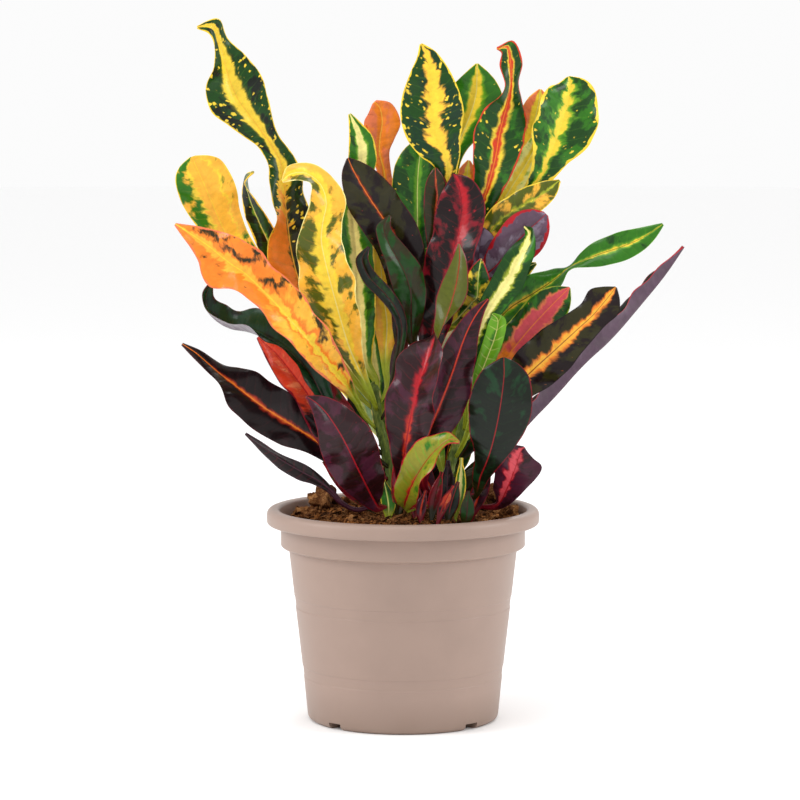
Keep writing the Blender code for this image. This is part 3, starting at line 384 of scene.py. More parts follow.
# Each leaf: what it departs from, then its own colours and sizes.
LEAF_LOOKS = {
    "leaf_left_tall": ("painted", dict(reach=0.3, jag=0.12, fringe="olive", fringe_width=0.12,
        fleck_amount=0.55, mottle="black_green", mottle_amount=0.4, foot="dark_olive", foot_share=0.52,
        foot_band="orange", foot_shift=-0.6, foot_reach=0.25, under="orange", show_through=0.7,
        rib="amber")),
    "leaf_left_spoon": ("amber", dict(mottle="mid_green", mottle_amount=0.5, mottle_side=-0.08, reach=0.4,
        jag=0.24, shift=0.1, band="amber", rib="yellow", fleck="mid_green", fleck_amount=0.25,
        vein="yellow", edge="yellow")),
    "leaf_left_curled": ("painted", dict(mottle="black_green", mottle_amount=0.5, fleck_amount=0.35,
        foot="orange", foot_share=0.5, reach=-0.05, edge_width=0.6, show_through=0.0)),
    "leaf_left_orange": ("amber", dict(blade="orange", mottle="dark_olive", mottle_amount=0.32,
        mottle_side=0.05, band="amber", fringe="orange", fringe_width=0.3, reach=0.22, jag=0.24,
        edge="salmon", edge_width=0.9, rib="yellow", rib_width=0.6, fleck="dark_olive", fleck_amount=0.2,
        foot="amber", foot_share=0.55, foot_band="yellow", vein_amount=0.12)),
    "leaf_left_green_curl": ("dark", dict(blade="blue_green", mottle="black_green", edge_width=0.5)),
    "leaf_left_red": ("maroon", dict(blade="red_orange", mottle="salmon", foot="black_maroon",
        foot_share=0.55, fleck="black_maroon", fleck_amount=0.25, edge_width=0.7)),
    "leaf_left_crimson": ("dark", dict(blade="deep_green", mottle="crimson", mottle_amount=0.6,
        edge="red")),
    "leaf_left_maroon": ("maroon", dict(band="orange", fringe="red_orange", reach=0.03, jag=0.07,
        rib="orange", edge="dark_red", vein_amount=0.05)),
    "leaf_low_left_twisted": ("maroon", dict(rib="purple", edge="purple", stalk="purple")),
    "leaf_front_purple": ("maroon", dict(blade="purple", mottle_amount=0.5, mottle_side=0.06,
        fleck_amount=0.15, vein_amount=0.1)),
    "leaf_curly_yellow": ("amber", dict(mottle="olive", mottle_amount=0.5, mottle_side=-0.06, reach=0.22,
        jag=0.22, edge="pale_yellow", foot="amber", foot_share=0.4, fleck="mid_green", fleck_amount=0.2)),
    "leaf_tall_striped": ("painted", dict(blade="mid_green", mottle="deep_green", band="pale_yellow",
        reach=0.3, jag=0.12, fleck_amount=0.05)),
    "leaf_golden": ("amber", dict(fleck_amount=0.0)),
    "leaf_dark_arm": ("dark", dict()),
    "leaf_dark_centre": ("maroon", dict(mottle="dark_olive", mottle_amount=0.55, band="orange",
        fringe="red_orange", reach=-0.02, jag=0.05, rib="orange", rib_width=0.35, fleck="red_orange",
        fleck_amount=0.12, edge="dark_red", vein_amount=0.0)),
    "leaf_dark_curly": ("dark", dict(blade="deep_green", mottle="dark_olive", mottle_amount=0.5)),
    "leaf_black_red": ("maroon", dict(reach=0.16, jag=0.14, shift=0.14, fringe_width=0.16, rib="crimson",
        edge_width=0.5, fleck="red", fleck_amount=0.3, mottle="crimson", mottle_amount=0.35)),
    "leaf_front_centre": ("maroon", dict(blade="maroon", mottle="purple", mottle_amount=0.4, reach=0.1,
        jag=0.12, fringe_width=0.12, foot_share=0.4, foot="maroon", foot_band="red_orange", edge_width=0.4,
        under="olive")),
    "leaf_front_pair": ("maroon", dict(blade="maroon", mottle="purple", mottle_amount=0.5,
        band="red_orange", reach=-0.02, rib="red_orange", rib_width=0.7, edge_width=0.4)),
    "leaf_front_yellow": ("amber", dict(blade="moss", mottle="mid_green", foot="moss", foot_share=0.6,
        foot_band="red_orange", band="moss", fringe="moss", reach=0.1, vein="light_green", vein_amount=0.6,
        rib="red", rib_width=0.5, edge="red", edge_width=0.6, under="olive", under_rib="red",
        fleck="mid_green", fleck_amount=0.2)),
    "leaf_front_oval": ("dark", dict(mottle="blue_green", rib="red", edge="crimson", edge_width=0.4)),
    "leaf_low_right": ("maroon", dict(blade="purple", band="pink_red", fringe="red", reach=0.2, jag=0.2,
        shift=-0.15, edge="purple")),
    "leaf_right_long_purple": ("dark", dict(edge="red", edge_width=0.4)),
    "leaf_right_olive": ("painted", dict(blade="black_maroon", mottle="dark_olive", mottle_amount=0.5,
        band="amber", fringe="orange", reach=0.14, jag=0.16, rib="crimson", edge="black_maroon",
        fleck="orange", fleck_amount=0.1, vein="dark_olive")),
    "leaf_right_pink": ("painted", dict(band="pink_red", fringe="salmon", reach=0.4, jag=0.2, rib="orange",
        edge="yellow_green", fleck="salmon", vein="red", foot_share=0.5, foot="mid_green",
        foot_band="orange")),
    "leaf_right_long_green": ("painted", dict(blade="mid_green", mottle="deep_green", reach=0.08, jag=0.12,
        rib="olive", fleck_amount=0.05, edge_width=0.2, edge="light_green", foot_share=0.45,
        foot="mid_green", foot_band="amber")),
    "leaf_right_twisted": ("painted", dict(band="pale_yellow", reach=0.28, jag=0.2, fringe="yellow_green",
        edge="deep_green", fleck_amount=0.1)),
    "leaf_right_bright": ("painted", dict(blade="light_green", band="yellow_green", reach=-0.1, jag=0.05,
        vein="pale_yellow", vein_amount=0.3, fleck_amount=0.0, edge="light_green")),
    # painted sheen: this blade is the pale mauve that stands in for reflected light
    "leaf_grey_spoon": ("maroon", dict(blade="painted_sheen_mauve", mottle="mauve", mottle_amount=0.5, rib="mauve",
        vein_amount=0.0)),
    "leaf_small_oval": ("painted", dict(reach=-0.1, jag=0.05, edge_width=0.35, fleck_amount=0.0)),
    "leaf_green_blotched": ("painted", dict(mottle="yellow", mottle_amount=0.5, edge="red", reach=0.0)),
    # painted sheen: this mottle is the pale mauve that stands in for reflected light
    "leaf_purple_red_margin": ("maroon", dict(blade="mauve", mottle="painted_sheen_mauve", mottle_amount=0.45,
        mottle_side=0.03, edge="red", edge_width=1.8, vein_amount=0.0)),
    "leaf_top_broad": ("painted", dict(blade="blue_green", mottle="deep_green", mottle_amount=0.5,
        reach=0.22, jag=0.26, shift=0.08, fringe="amber", fringe_width=0.14, edge_width=0.7,
        fleck_amount=0.55, rib="yellow")),
    "leaf_top_behind": ("painted", dict(blade="mid_green", mottle="deep_green", reach=0.24, jag=0.12,
        fleck_amount=0.15, edge_width=0.25)),
    "leaf_top_tall": ("painted", dict(band="red_orange", fringe="yellow", reach=0.15, jag=0.09,
        rib="orange", edge="red_orange", edge_width=0.6, fleck_amount=0.4)),
    "leaf_top_round": ("painted", dict(blade="mid_green", mottle="deep_green", mottle_amount=0.55,
        reach=0.17, jag=0.2, edge_width=1.2, fleck_amount=0.35, rib="yellow", shift=-0.06)),
    "leaf_top_bronze": ("amber", dict(blade="salmon", mottle="orange", foot="maroon", foot_share=0.6)),
    "leaf_top_pale": ("amber", dict(blade="pale_yellow", mottle="light_green", mottle_amount=0.4,
        vein="light_green")),
    "leaf_olive_yellow": ("painted", dict(blade="olive", mottle="amber", mottle_amount=0.35, reach=0.0,
        jag=0.2, fringe="yellow_green", rib="yellow_green")),
    "leaf_top_orange": ("amber", dict(blade="salmon", mottle="orange", mottle_amount=0.5, band="orange",
        fringe="orange", reach=0.15, jag=0.1, rib="amber", rib_width=0.6, fleck_amount=0.25, edge="salmon",
        foot_share=0.4, foot="orange", foot_band="amber")),
    "leaf_green_striped": ("painted", dict(blade="mid_green", mottle="deep_green", mottle_amount=0.5,
        band="light_green", fringe="mid_green", reach=0.12, jag=0.08, edge_width=0.2)),
    "leaf_dark_olive": ("maroon", dict(blade="dark_olive", mottle="olive", band="orange", reach=0.05)),
    "leaf_pink_tip": ("amber", dict(blade="salmon", mottle="orange")),
    "leaf_back_low_left": ("maroon", dict(reach=0.06, jag=0.1)),
    "leaf_back_left": ("painted", dict(reach=0.22, jag=0.16)),
    "leaf_back_middle": ("maroon", dict(blade="purple", band="pink_red", reach=0.15, jag=0.15)),
    "leaf_back_high_left": ("amber", dict(mottle="mid_green", mottle_amount=0.5)),
    "leaf_back_high": ("painted", dict(blade="blue_green", reach=0.2, jag=0.18, fleck_amount=0.5)),
    "leaf_back_right": ("painted", dict(band="orange", fringe="red_orange", reach=0.15)),
    "leaf_back_high_right": ("painted", dict(blade="mid_green", band="pale_yellow")),
    "leaf_back_low_right": ("dark", dict(blade="deep_green", edge="red")),
}


def leaf_material(node, paint, palette, leaf_length, seed):
    """Croton leaf: living tissue under a clear waxy skin, which gives soft but bright reflections."""
    base, own = LEAF_LOOKS[node]
    look = {**PLAIN, **LOOKS[base], **own}
    look.setdefault("foot_band", look["band"])
    material, tree, shader = new_material(
        "croton_" + node, {"Roughness": 0.36, "IOR": 1.42, "Specular IOR Level": 0.16,
                               "Coat Weight": 0.3, "Coat Roughness": 0.16})
    inputs = {}
    for name in PAINT_COLOURS:
        inputs[name] = getattr(palette, look[name.lower().replace(" ", "_")])
    for name in PAINT_VALUES:
        inputs[name] = look.get(name.lower().replace(" ", "_"))
    inputs["Length"] = leaf_length / MM
    inputs["Seed"] = seed
    given = tree.nodes.new("ShaderNodeGroup")
    given.node_tree = paint
    for name, value in inputs.items():
        given.inputs[name].default_value = value
    tree.links.new(given.outputs["Colour"], shader.inputs["Base Color"])
    bump = put(tree, "Bump", {"Height": given.outputs["Height"], "Distance": MM, "Strength": 1.0})
    tree.links.new(bump, shader.inputs["Normal"])
    return material


# ---------------------------------------------------------------- leaf shape

STALK_SINK = 0.0009
MARGIN_THICKNESS = 0.00022
BROAD_HALF = 0.013
RIGHT_PHASE = 2.1
SHORT_WAVE = 0.6
SHORT_WAVE_RATE = 1.73
# share of the half-width at which a section's middle corners stand
UPPER_MIDDLE = 0.5
LOWER_MIDDLE = 0.35
INNER_LIFT = 0.0004
STALK_HALF_MM = 1.1
INNER_FOLD = 0.3


def merged_copy(node):
    """The CAD node's mesh with its shared corners joined."""
    form = bmesh.new()
    form.from_mesh(node.data)
    bmesh.ops.remove_doubles(form, verts=form.verts, dist=MERGE)
    return form


def walk_round(ring):
    """The corners of one ring of a leaf's solid, in order round it."""
    members = set(ring)
    order = [min(members, key=lambda v: v.index)]
    while len(order) < RING:
        for edge in order[-1].link_edges:
            other = edge.other_vert(order[-1])
            leaves_ring = any(set(face.verts) - members for face in edge.link_faces)
            if other in members and other not in order and leaves_ring:
                order.append(other)
                break
    return [vertex.co.copy() for vertex in order]


def aligned(ring, previous):
    """The ring turned, and reversed if need be, so that its corners follow on from the ring before."""
    choices = []
    for way in (ring, ring[::-1]):
        choices += [way[k:] + way[:k] for k in range(RING)]
    return min(choices, key=lambda c: sum((a - b).length for a, b in zip(c, previous)))


def leaf_rings(node, stems):
    """The rings of a leaf's solid from stalk to tip: left edge, three upper, right edge, three lower."""
    form = merged_copy(node)
    form.verts.index_update()
    seat = min(form.verts, key=lambda v: stems.find_nearest(v.co)[3])
    ring = set(sorted(form.verts, key=lambda v: (v.co - seat.co).length)[:RING])
    seen = set(ring)
    rings = []
    while ring:
        if len(ring) != RING:
            raise RuntimeError(f"{node.name}: a ring has {len(ring)} corners, not {RING}")
        order = walk_round(ring)
        rings.append(aligned(order, rings[-1]) if rings else order)
        ring = {edge.other_vert(v) for v in ring for edge in v.link_edges} - seen
        seen |= ring
    form.free()
    return [with_roles(ring, *roles(rings)) for ring in rings]


def roles(rings):
    """Which corner is the left edge, and which way round the upper face follows, from the widest ring."""
    half = RING // 2
    widths = [max((ring[k] - ring[k + half]).length for k in range(half)) for ring in rings]
    widest = widths.index(max(widths))
    ring = rings[widest]
    edge = max(range(half), key=lambda k: (ring[k] - ring[k + half]).length)

    def corner(k):
        return ring[(edge + k) % RING]

    upper_first = (corner(1) - corner(3)).length > (corner(5) - corner(7)).length
    up = corner(2) - corner(6) if upper_first else corner(6) - corner(2)
    ahead = rings[min(widest + 1, len(rings) - 1)]
    behind = rings[max(widest - 1, 0)]
    along = sum(ahead, Vector()) - sum(behind, Vector())
    right = along.cross(up)
    left_is_first = (corner(4) - corner(0)).dot(right) > 0
    start = edge if left_is_first else (edge + half) % RING
    forward = upper_first == left_is_first
    return start, 1 if forward else -1


def with_roles(ring, start, step):
    return [ring[(start + step * k) % RING] for k in range(RING)]


def smooth_value(values, place):
    """Catmull-Rom value of a row of points at a fractional index."""
    index = min(int(place), len(values) - 2)
    t = place - index
    before, start, end, after = (values[min(max(index + k, 0), len(values) - 1)] for k in (-1, 0, 1, 2))
    cubic = 2 * t ** 3 - 3 * t ** 2
    return (start * (cubic + 1) - end * cubic + (end - before) * (0.5 * (t ** 3 - 2 * t ** 2 + t))
            + (after - start) * (0.5 * (t ** 3 - t ** 2)))


def section_point(ring, across, upper):
    """A point of the section between its corners; across runs from -1, left edge, to 1, right edge."""
    x = abs(across)
    right = across >= 0
    if upper:
        rib, quarter, edge = ring[2], ring[3 if right else 1], ring[4 if right else 0]
        at = UPPER_MIDDLE
    else:
        rib, quarter, edge = ring[6], ring[5 if right else 7], ring[4 if right else 0]
        at = LOWER_MIDDLE
    return (rib * ((x - at) * (x - 1) / at) + quarter * (x * (x - 1) / (at * (at - 1)))
            + edge * (x * (x - at) / (1 - at)))


def grow_leaf(rings, form_settings, seed):
    """A fine closed leaf through rings of eight corners, with rippled margins and a pointed tip."""
    middles = [(ring[0] + ring[4]) * 0.5 for ring in rings]
    # the stalk's foot reaches into its stem
    outward = (middles[1] - middles[0]).normalized()
    rings[0] = [corner - outward * STALK_SINK for corner in rings[0]]
    reach = [0.0]
    for low, high in zip(middles, middles[1:]):
        reach.append(reach[-1] + (high - low).length)
    rows = max(len(rings) * 3, round(reach[-1] / form_settings.row_step))
    form = bmesh.new()
    bmesh.ops.create_grid(form, x_segments=form_settings.around, y_segments=rows, size=0.5)
    blade = form.verts.layers.float_vector.new("blade")
    upper_face = form.faces.layers.float.new("upper")
    for face in form.faces:
        face[upper_face] = 1.0 if face.calc_center_median().x < 0 else 0.0
    tracks = [[ring[k] for ring in rings] for k in range(RING)]
    levels = {}
    for vertex in form.verts:
        turn = round(vertex.co.x + 0.5, 4)
        level = round(vertex.co.y + 0.5, 5)
        if level not in levels:
            place = level * (len(rings) - 1)
            ring = [smooth_value(track, place) for track in tracks]
            half = max(((ring[4] - ring[2]).length + (ring[0] - ring[2]).length) / 2, MM * 0.3)
            index = min(int(place), len(reach) - 2)
            along = reach[index] + (reach[index + 1] - reach[index]) * (place - index)
            levels[level] = (ring, half, along, (ring[2] - ring[6]).normalized())
        ring, half, along, up = levels[level]
        upper = turn <= 0.5
        across = 4 * turn - 1 if upper else 3 - 4 * turn
        point = section_point(ring, across, upper)
        plump = min(MARGIN_THICKNESS, 0.2 * half) * (1 - across ** 8)
        point = point + up * (plump if upper else -plump)
        # two waves of unlike length, out of step from one margin to the other
        wave = FULL_TURN * along / form_settings.ripple_length
        phase = seed + (RIGHT_PHASE if across > 0 else 0.0)
        swing = math.sin(wave + phase) + SHORT_WAVE * math.sin(SHORT_WAVE_RATE * wave + 2 * phase)
        size = form_settings.ripple * min(1.0, half / BROAD_HALF) ** 2
        point = point + up * (size * across * across * swing)
        vertex.co = point
        vertex[blade] = Vector((across * half, along, half)) / MM
    bmesh.ops.remove_doubles(form, verts=form.verts, dist=MERGE / 4)
    rims = [edge for edge in form.edges if edge.is_boundary]
    bmesh.ops.holes_fill(form, edges=rims, sides=0)
    bmesh.ops.recalc_face_normals(form, faces=form.faces)
    for edge in form.edges:
        if len(edge.link_faces) == 2:
            first, second = edge.link_faces
            edge.smooth = first[upper_face] == second[upper_face]
    return form, reach[-1]


def inner_rings(path, widths, up_face):
    """Rings for a leaf with no CAD solid: its midrib, its half-widths and the way its face looks."""
    rings = []
    for step, (place, half) in enumerate(zip(path, widths)):
        along = (path[min(step + 1, len(path) - 1)] - path[max(step - 1, 0)]).normalized()
        up = (up_face - along * up_face.dot(along)).normalized()
        right = along.cross(up)
        lift = up * min(INNER_LIFT, 0.5 * half)
        out = right * half
        fold = up * (INNER_FOLD * half)
        rings.append([place - out + fold, place + UPPER_MIDDLE * (fold - out) + lift,
                      place + lift * 1.3, place + UPPER_MIDDLE * (fold + out) + lift,
                      place + out + fold, place + LOWER_MIDDLE * (fold + out) - lift,
                      place - lift * 2, place + LOWER_MIDDLE * (fold - out) - lift])
    return rings


# ---------------------------------------------------------------- stem shape

STEM_STEP = 0.0012
STEM_SIDES = 20
SCAR_SPACING = 0.011
# radius between the leaf scars, and what a scar adds, as shares of the solid's radius
BARE_SHARE = 0.95
SCAR_SHARE = 0.12
BARK_UNEVEN_MM = 0.2


def stem_rings(node):
    """Centre and radius of each level ring of a stem's solid."""
    form = merged_copy(node)
    levels = {}
    for vertex in form.verts:
        levels.setdefault(round(vertex.co.z, 5), []).append(vertex.co.copy())
    form.free()
    rings = []
    for height in sorted(levels):
        corners = levels[height]
        centre = sum(corners, Vector()) / len(corners)
        rings.append((centre, (corners[0] - centre).length))
    return rings


def sweep(form, path, radii, sides):
    """A closed rod along a path: a capped circle, whose end is extruded from point to point."""
    made = bmesh.ops.create_circle(form, cap_ends=True, segments=sides, radius=1.0)["verts"]
    tip = next(face for face in made[0].link_faces if len(face.verts) == sides)
    shape = {vertex: vertex.co.copy() for vertex in made}
    turn = None
    for step, (place, radius) in enumerate(zip(path, radii)):
        if step:
            grown = bmesh.ops.extrude_face_region(form, geom=[tip])["geom"]
            new_tip = next(item for item in grown if isinstance(item, bmesh.types.BMFace))
            for vertex in new_tip.verts:
                source = next(e.other_vert(vertex) for e in vertex.link_edges
                              if e.other_vert(vertex) not in new_tip.verts)
                shape[vertex] = shape[source]
            if step > 1:
                bmesh.ops.delete(form, geom=[tip], context="FACES_ONLY")
            tip = new_tip
        ahead = (path[min(step + 1, len(path) - 1)] - path[max(step - 1, 0)]).normalized()
        if turn is None:
            turn = ahead.to_track_quat("Z", "Y")
            before = ahead
        turn = before.rotation_difference(ahead) @ turn
        before = ahead
        for vertex in tip.verts:
            unit = shape[vertex]
            vertex.co = place + turn @ Vector((unit.x * radius, unit.y * radius, 0))
    return form


def stem_form(node):
    """A stem through its CAD rings, with the low collars that fallen leaves leave behind."""
    rings = stem_rings(node)
    centres = [centre for centre, _ in rings]
    radii = [radius for _, radius in rings]
    top, foot = centres[-1].z, centres[0].z
    path, sizes = [], []
    steps = round((top - foot) / STEM_STEP)
    for step in range(steps + 1):
        place = step / steps * (len(rings) - 1)
        centre = smooth_value(centres, place)
        index = min(int(place), len(radii) - 2)
        radius = radii[index] + (radii[index + 1] - radii[index]) * (place - index)
        scar = math.sin(centre.z / SCAR_SPACING * FULL_TURN) ** 8
        path.append(centre)
        sizes.append(radius * (BARE_SHARE + SCAR_SHARE * scar))
    form = sweep(bmesh.new(), path, sizes, STEM_SIDES)
    for vertex in form.verts:
        if foot < vertex.co.z < top:
            vertex.co += Vector((1, 1, 0)) * (noise.noise(vertex.co / MM * 0.35) * BARK_UNEVEN_MM * MM)
    bmesh.ops.recalc_face_normals(form, faces=form.faces)
    return form


# ---------------------------------------------------------------- pot

def spun(outline, sides, rounded=()):
    """A closed solid of revolution of (radius, height) points in millimetres, with some corners rounded.

    rounded pairs the index of a corner with the length cut off it.
    """
    form = bmesh.new()
    corners = [form.verts.new((radius * MM, 0, height * MM)) for radius, height in outline]
    for one, two in zip(corners, corners[1:]):
        form.edges.new((one, two))
    if outline[0][0] > 0:
        form.edges.new((corners[-1], corners[0]))
    for index, size in rounded:
        bmesh.ops.bevel(form, geom=[corners[index]], offset=size * MM, offset_type="OFFSET", segments=6,
                        profile=0.5, affect="VERTICES", material=-1)
    bmesh.ops.spin(form, geom=form.verts[:] + form.edges[:], axis=(0, 0, 1), cent=(0, 0, 0), dvec=(0, 0, 0),
                   angle=FULL_TURN, steps=sides, use_merge=True, use_duplicate=False)
    bmesh.ops.remove_doubles(form, verts=form.verts, dist=MERGE)
    bmesh.ops.recalc_face_normals(form, faces=form.faces)
    return form


def cut_away(form, cutters):
    """The form with each cutter's solid taken out of it."""
    body = bpy.data.objects.new("body", bpy.data.meshes.new("body"))
    form.to_mesh(body.data)
    bpy.context.scene.collection.objects.link(body)
    tools = []
    for cutter in cutters:
        tool = bpy.data.objects.new("tool", bpy.data.meshes.new("tool"))
        cutter.to_mesh(tool.data)
        cutter.free()
        bpy.context.scene.collection.objects.link(tool)
        cut = body.modifiers.new("cut", "BOOLEAN")
        cut.operation = "DIFFERENCE"
        cut.solver = "EXACT"
        cut.object = tool
        tools.append(tool)
    bpy.context.view_layer.update()
    result = bpy.data.meshes.new_from_object(body.evaluated_get(bpy.context.evaluated_depsgraph_get()))
    form.clear()
    form.from_mesh(result)
    for thing in [body] + tools:
        mesh = thing.data
        bpy.data.objects.remove(thing)
        bpy.data.meshes.remove(mesh)
    bpy.data.meshes.remove(result)


# Pot, in millimetres; heights are measured down from its rim or up from its foot
LIP = 9.8
LIP_UNDERCUT = 1.8
COLLAR_RADIUS = 76.2
COLLAR = 14.0
COLLAR_STEP = 1.4
WALL = 1.6
BODY_TOP_RADIUS = 71.4
BODY_FOOT_RADIUS = 59.4
FOOT_ROUNDING = 3.0
FLOOR_TOP = 5.6
RECESS_DEPTH = 4.0
RECESS_INNER = 22.0
RECESS_OUTER = 50.0
BAND_HEIGHTS = (30.6, 74.2)
BAND_SLOPE = 0.7
BAND_ROUNDING = 0.25
COLLAR_ROUNDING = 0.9
LIP_ROUNDING = 3.4
LIP_INNER_ROUNDING = 1.8
OPENINGS = 4
NOTCH = (20.0, 10.0, 8.0)
NOTCH_REACH = 57.0
DRAIN_RADIUS = 4.0
DRAIN_REACH = 36.0
DRAIN_CUT = 30.0
# height below which painted shade darkens the pot's foot
FOOT_SHADE_HEIGHT_MM = 22.0
SHARP_ANGLE = math.radians(35)


def body_radius(height, rim):
    """Outer radius of the tapered wall at a height above the foot."""
    share = (height - FOOT_ROUNDING) / (rim - LIP - COLLAR - FOOT_ROUNDING)
    return BODY_FOOT_RADIUS + (BODY_TOP_RADIUS - BODY_FOOT_RADIUS) * share


def pot_form(sizes):
    """The pot: a foot with a recess, a tapered wall with two moulded bands, a collar and a rolled lip."""
    low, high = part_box("pot")
    rim, rim_radius = high[2] / MM, (high[0] - low[0]) / 2 / MM
    collar_foot = rim - LIP - COLLAR
    body_top = collar_foot - COLLAR_STEP
    outline = [(0, 0), (RECESS_INNER, 0), (RECESS_INNER, RECESS_DEPTH),
               (RECESS_OUTER, RECESS_DEPTH), (RECESS_OUTER, 0), (BODY_FOOT_RADIUS, 0)]
    foot_corner = len(outline) - 1
    depth, width = sizes.band_depth / MM, sizes.band_width / MM
    soft = []
    for middle in BAND_HEIGHTS:
        for height, sunk in ((middle - width / 2, 0), (middle - width / 2 + BAND_SLOPE, depth),
                             (middle + width / 2 - BAND_SLOPE, depth), (middle + width / 2, 0)):
            outline.append((body_radius(height, rim) - sunk, height))
            soft.append((len(outline) - 1, BAND_ROUNDING))
    outline.append((body_radius(body_top, rim), body_top))
    outline += [(COLLAR_RADIUS, collar_foot + 0.3), (COLLAR_RADIUS, rim - LIP),
                (rim_radius - 0.2, rim - LIP), (rim_radius, rim - LIP / 2), (rim_radius - 0.4, rim),
                (COLLAR_RADIUS + 1.2, rim - 0.2), (COLLAR_RADIUS - WALL, rim - LIP),
                (COLLAR_RADIUS - WALL - COLLAR_STEP, collar_foot),
                (body_radius(body_top, rim) - WALL, body_top),
                (body_radius(FLOOR_TOP, rim) - WALL, FLOOR_TOP), (0, FLOOR_TOP)]
    # the collar's lower corner and the lip's lower corner, counted from the outline's end
    collar, lip = len(outline) - 11, len(outline) - 9
    rounded = soft + [(foot_corner, FOOT_ROUNDING), (collar, COLLAR_ROUNDING), (lip, LIP_UNDERCUT),
                      (lip + 2, LIP_ROUNDING), (lip + 3, LIP_INNER_ROUNDING)]
    form = spun(outline, sizes.sides, rounded)
    cutters = []
    for index in range(OPENINGS):
        turn = Matrix.Rotation(FULL_TURN * (index + 0.5) / OPENINGS, 4, "Z")
        notch = bmesh.new()
        bmesh.ops.create_cube(notch, size=MM, matrix=turn @ Matrix.Translation((NOTCH_REACH * MM, 0, 0))
                              @ Matrix.Diagonal((*NOTCH, 1)))
        drain = bmesh.new()
        bmesh.ops.create_cone(drain, cap_ends=True, segments=24, radius1=DRAIN_RADIUS * MM,
                              radius2=DRAIN_RADIUS * MM, depth=DRAIN_CUT * MM,
                              matrix=turn @ Matrix.Translation((DRAIN_REACH * MM, 0, 0)))
        cutters += [notch, drain]
    cut_away(form, cutters)
    return form


def moulded_plastic(sizes):
    """Injection-moulded polypropylene: satin with a fine eggshell grain, and painted shade that darkens it
    in patches near its foot.
    """
    material, tree, shader = new_material("polypropylene_moulded_taupe", {
        "IOR": 1.49, "Specular IOR Level": 0.42})
    place = put(tree, "TexCoord", out="Object")
    cloud = put(tree, "TexNoise", {"Vector": place, "Scale": 28.0, "Detail": 6.0, "Roughness": 0.6})
    tone = put(tree, "MapRange", {"Value": cloud, "From Min": 0.3, "From Max": 0.7, "To Min": 0.95,
                                  "To Max": 1.04})
    painted = put(tree, "VectorMath", {0: tuple(sizes.plastic)[:3], "Scale": tone}, operation="SCALE")
    # painted shade: the colour darkens in patches towards the foot, where the pot meets the floor
    height = put(tree, "SeparateXYZ", (place,), out="Z")
    low = put(tree, "MapRange", {"Value": height, "From Min": FOOT_SHADE_HEIGHT_MM * MM, "From Max": 0.0})
    foot_shade_mask = put(tree, "Math", (low, cloud), operation="MULTIPLY")
    painted = put(tree, "Mix", {0: foot_shade_mask, 6: painted, 7: sizes.painted_foot_shade}, out=2, data_type="RGBA")
    tree.links.new(painted, shader.inputs["Base Color"])
    rough = put(tree, "MapRange", {"Value": cloud, "From Min": 0.3, "From Max": 0.7, "To Min": 0.38,
                                   "To Max": 0.5})
    tree.links.new(rough, shader.inputs["Roughness"])
    # the grain is drawn at 0.6 mm, coarser than the real 0.2 mm, so that it shows
    grain = put(tree, "TexNoise", {"Vector": place, "Scale": 1600.0, "Detail": 2.0})
    bump = put(tree, "Bump", {"Height": grain, "Strength": 0.35, "Distance": 0.00006})
    tree.links.new(bump, shader.inputs["Normal"])
    return material


# ---------------------------------------------------------------- soil

SOIL_SIDES = 120
SOIL_TOP_CUTS = 60
SOIL_GAP_MM = 0.6
SOIL_REACH_MM = 73.8
SOIL_EDGE_DROP = 0.0085
SOIL_MOUND = 0.0065
SOIL_BACK_RISE = 0.05
CLOD_SIZE = 0.009
CLOD_HEIGHT = 0.0014
PEAT_PATCH_MM = 2.5
BARK_PATCH_MM = 5.0
CRUMB_SEED = 7
CHIP_SEED = 11
CRUMB_GAP_MM = 3.5
LUMP_ROUGHNESS = 0.7
LUMP_DIVISIONS = 5
LUMP_TURN = 0.7
LUMP_PITS_MM = 1.2
BARK_LUMPS = (
    # centre, then half sizes, all in millimetres: the edge of the old root ball, and curled bark
    ((57, 34, 131), (12, 9, 10)),
    ((52, 40, 126), (12, 8, 8)),
    ((66, 16, 125), (8, 9, 6)),
    ((-50, 38, 131), (12, 8, 9)),
    ((-60, 24, 124), (8, 8, 5)),
    ((-34, 50, 125), (12, 8, 6)),
    ((30, 48, 126), (14, 9, 7)),
    ((0, 58, 124), (15, 8, 6)),
)


def soil_height(x, y, edge, mound):
    """Height of the crumbled surface at a place, all in metres."""
    radius = COLLAR_RADIUS * MM
    reach = min(1.0, math.hypot(x, y) / radius)
    smooth = edge + mound * (1 - reach ** 2) + SOIL_BACK_RISE * y * reach
    rough = noise.fractal(Vector((x, y, 0)) / CLOD_SIZE, 1.0, 2.0, 4)
    return smooth + rough * CLOD_HEIGHT * (1 - reach ** 6)


def soil_form(edge, mound, floor_height, sides_out):
    """The whole root ball: a spun plug whose top is broken up."""
    low_radius, wall_radius, top_radius, wall_height = sides_out
    outline = [(0, floor_height), (low_radius, floor_height), (wall_radius, wall_height),
               (top_radius, edge / MM), (0, edge / MM)]
    form = bmesh.new()
    corners = [form.verts.new((r * MM, 0, z * MM)) for r, z in outline]
    lines = [form.edges.new(pair) for pair in zip(corners, corners[1:])]
    bmesh.ops.subdivide_edges(form, edges=[lines[3]], cuts=SOIL_TOP_CUTS)
    bmesh.ops.spin(form, geom=form.verts[:] + form.edges[:], axis=(0, 0, 1), cent=(0, 0, 0),
                   angle=FULL_TURN, steps=SOIL_SIDES, use_merge=True)
    bmesh.ops.remove_doubles(form, verts=form.verts, dist=MERGE)
    bmesh.ops.recalc_face_normals(form, faces=form.faces)
    for vertex in form.verts:
        if vertex.co.z > edge - MERGE:
            vertex.co.z = soil_height(vertex.co.x, vertex.co.y, edge, mound)
    return form


